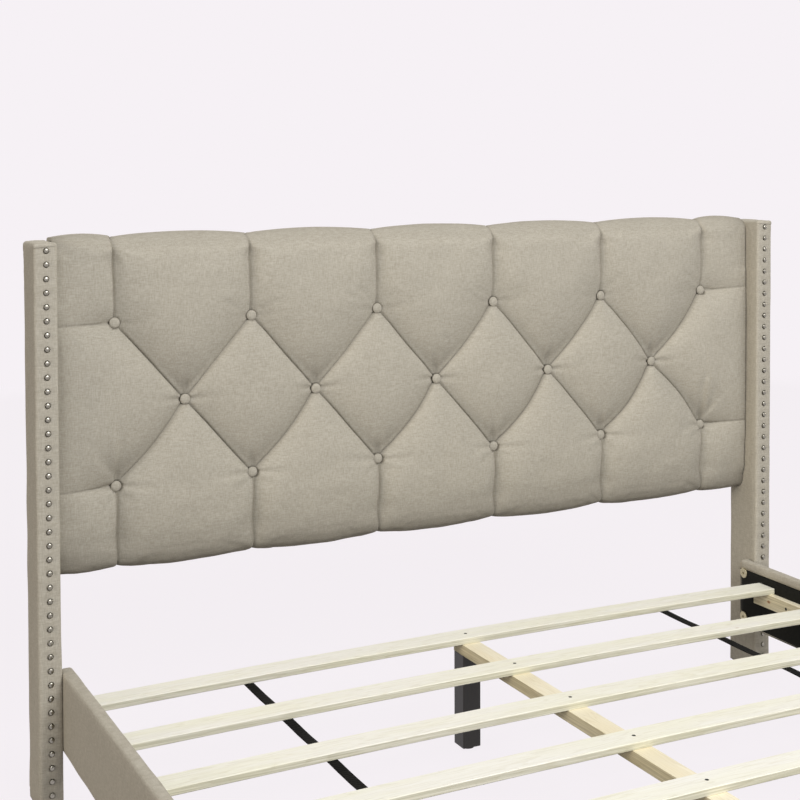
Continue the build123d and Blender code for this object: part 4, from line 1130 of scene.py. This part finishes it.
def makeRailLining(side):
    sign = -1 if side == "left" else 1
    low, high = boxOf(side + "_rail_inner_cloth")
    faceX = low.x if sign > 0 else high.x
    makeSheet(side + "_rail_lining", side + "_rail_inner_cloth", lining,
              (low.y, high.y)[::-sign], (low.z, high.z),
              lambda U, V: (faceX + sign * liningLift(U, V, 80 + sign), U, V))


def makeFootLining():
    low, high = boxOf("footboard_inner_cloth")
    makeSheet("footboard_lining", "footboard_inner_cloth", lining, (low.x, high.x), (low.z, high.z),
              lambda U, V: (U, high.y - liningLift(U, V, 90), V))


def makeTape(side):
    low, high = boxOf(side + "_slat_webbing")
    spans = [[corner.y for corner in boxOf(slat)] for slat in slats]

    def place(U, V):
        gap = np.min([np.maximum(np.maximum(a - V, V - b), 0) for a, b in spans], axis=0)
        edge = np.abs(U - (low.x + high.x) / 2) / ((high.x - low.x) / 2)
        drop = tape["hang"] * smoothStep(gap / 80) + tape["curl"] * edge ** 4
        return U, V, high.z - drop + ripples(U, V, 95, 60, tape["ripple"])

    makeSheet(side + "_slat_tape", side + "_slat_webbing", tape, (low.x, high.x), (low.y, high.y),
              place)


makeBackCloth()
makeRailLining("left")
makeRailLining("right")
makeFootLining()
makeTape("left")
makeTape("right")
print("linings and tapes made")

# Floor, light and camera
camera = {"focalPixels": 1466.97, "place": (-1.7833, -2.3499, 1.5143), "yaw": 26.354, "pitch": 1.931,
          "roll": 0.199, "shiftY": -0.25}
studio = {
    "background": "#F6F1F5", "floor": "#868284", "floorTint": "#F1ECF0", "floorGlow": 0.95,
    "glowReach": 9.0, "floorRings": (0.7, 1.5, 3.0, 6.0, 12.0, 30.0), "floorSides": 48,
    "world": "#F8F6F4", "worldStrength": 0.4,
    "keyPower": 287, "keySize": 3.0, "keyPlace": (0.1, -3.9, 4.05), "keyAim": (0.0, 1.0, 0.8),
    # broad fills nearly along the headboard and from behind light only what faces them
    "fillColor": "#FFF4E2", "fillSpread": 20,
    "fills": {"left_fill": ((1.0, 0.2, -0.2), 0.95), "right_fill": ((-1.0, 0.0, -0.2), 0.6),
              "back_fill": ((-0.15, -1.0, -0.2), 0.6)},
}


def makeCamera():
    data = bpy.data.cameras.new("photo_camera")
    data.sensor_width = 36
    data.lens = camera["focalPixels"] / 800 * 36      # the photo is 800 pixels wide
    data.shift_y = camera["shiftY"]
    data.clip_end = 60
    eye = addObject("photo_camera", data)
    eye.location = camera["place"]
    eye.rotation_euler = [math.radians(a) for a in (90 - camera["pitch"], camera["roll"], -camera["yaw"])]
    bpy.context.scene.camera = eye


def seenDirectly(tree):
    path = addNode(tree, "LightPath")
    return path, mathNode(tree, "MAXIMUM", (path, "Is Camera Ray"), (path, "Is Glossy Ray"))


def makeFloor():
    material, tree, place = newMaterial("studio_floor_pale")
    reach = addNode(tree, "VectorMath", {"operation": "LENGTH"}, {0: place}), "Value"
    outward = mathNode(tree, "DIVIDE", reach, studio["glowReach"])
    far = ramp(tree, outward, [(0.35, 0.0), (0.8, 1.0)], "EASE")
    path, seen = seenDirectly(tree)
    tint = mixColors(tree, (path, "Is Camera Ray"), studio["floor"], studio["floorTint"])
    paint = addNode(tree, "BsdfDiffuse", links={"Color": tint})
    glow = addNode(tree, "Emission", {"Color": toLinear(studio["background"]), "Strength": 1.0})
    amount = mathNode(tree, "MULTIPLY", mathNode(tree, "MAXIMUM", far, studio["floorGlow"]), seen)
    both = addNode(tree, "MixShader", links={0: amount, 1: (paint, "BSDF"), 2: (glow, "Emission")})
    addNode(tree, "OutputMaterial", links={"Surface": (both, "Shader")})
    rings, sides = studio["floorRings"], studio["floorSides"]
    points = [(r * math.cos(6.2832 * i / sides), r * math.sin(6.2832 * i / sides), 0.0)
              for r in rings for i in range(sides)] + [(0, 0, 0)]
    faces = gridFaces(len(rings), sides, wrap=True)
    faces += [((i + 1) % sides, i, len(points) - 1) for i in range(sides)]
    mesh = bpy.data.meshes.new("studio_floor")
    mesh.from_pydata(points, [], [f[::-1] for f in faces])
    mesh.materials.append(material)
    addObject("studio_floor", mesh)


def addLight(name, kind, energy, direction):
    data = bpy.data.lights.new(name, kind)
    data.energy = energy
    lamp = addObject(name, data)
    lamp.rotation_euler = Vector(direction).to_track_quat("-Z", "Y").to_euler()
    return lamp


def makeLight():
    world = bpy.data.worlds.new("studio")
    world.use_nodes = True
    tree = world.node_tree
    tree.nodes.clear()
    seen = seenDirectly(tree)[1]
    soft, shown = [addNode(tree, "Background", {"Color": toLinear(studio[key]), "Strength": strength})
                   for key, strength in (("world", studio["worldStrength"]), ("background", 1.0))]
    both = addNode(tree, "MixShader", links={0: seen, 1: (soft, "Background"), 2: (shown, "Background")})
    addNode(tree, "OutputWorld", links={"Surface": (both, "Shader")})
    bpy.context.scene.world = world
    place = Vector(studio["keyPlace"])
    key = addLight("key_softbox", "AREA", studio["keyPower"], Vector(studio["keyAim"]) - place)
    key.location = place
    key.data.shape, key.data.size, key.data.size_y = "RECTANGLE", studio["keySize"], studio["keySize"]
    for name, (direction, energy) in studio["fills"].items():
        fill = addLight(name, "SUN", energy, direction).data
        fill.angle = math.radians(studio["fillSpread"])
        fill.color = toLinear(studio["fillColor"])[:3]


makeCamera()
makeFloor()
makeLight()
bpy.context.scene.view_settings.view_transform = "Standard"
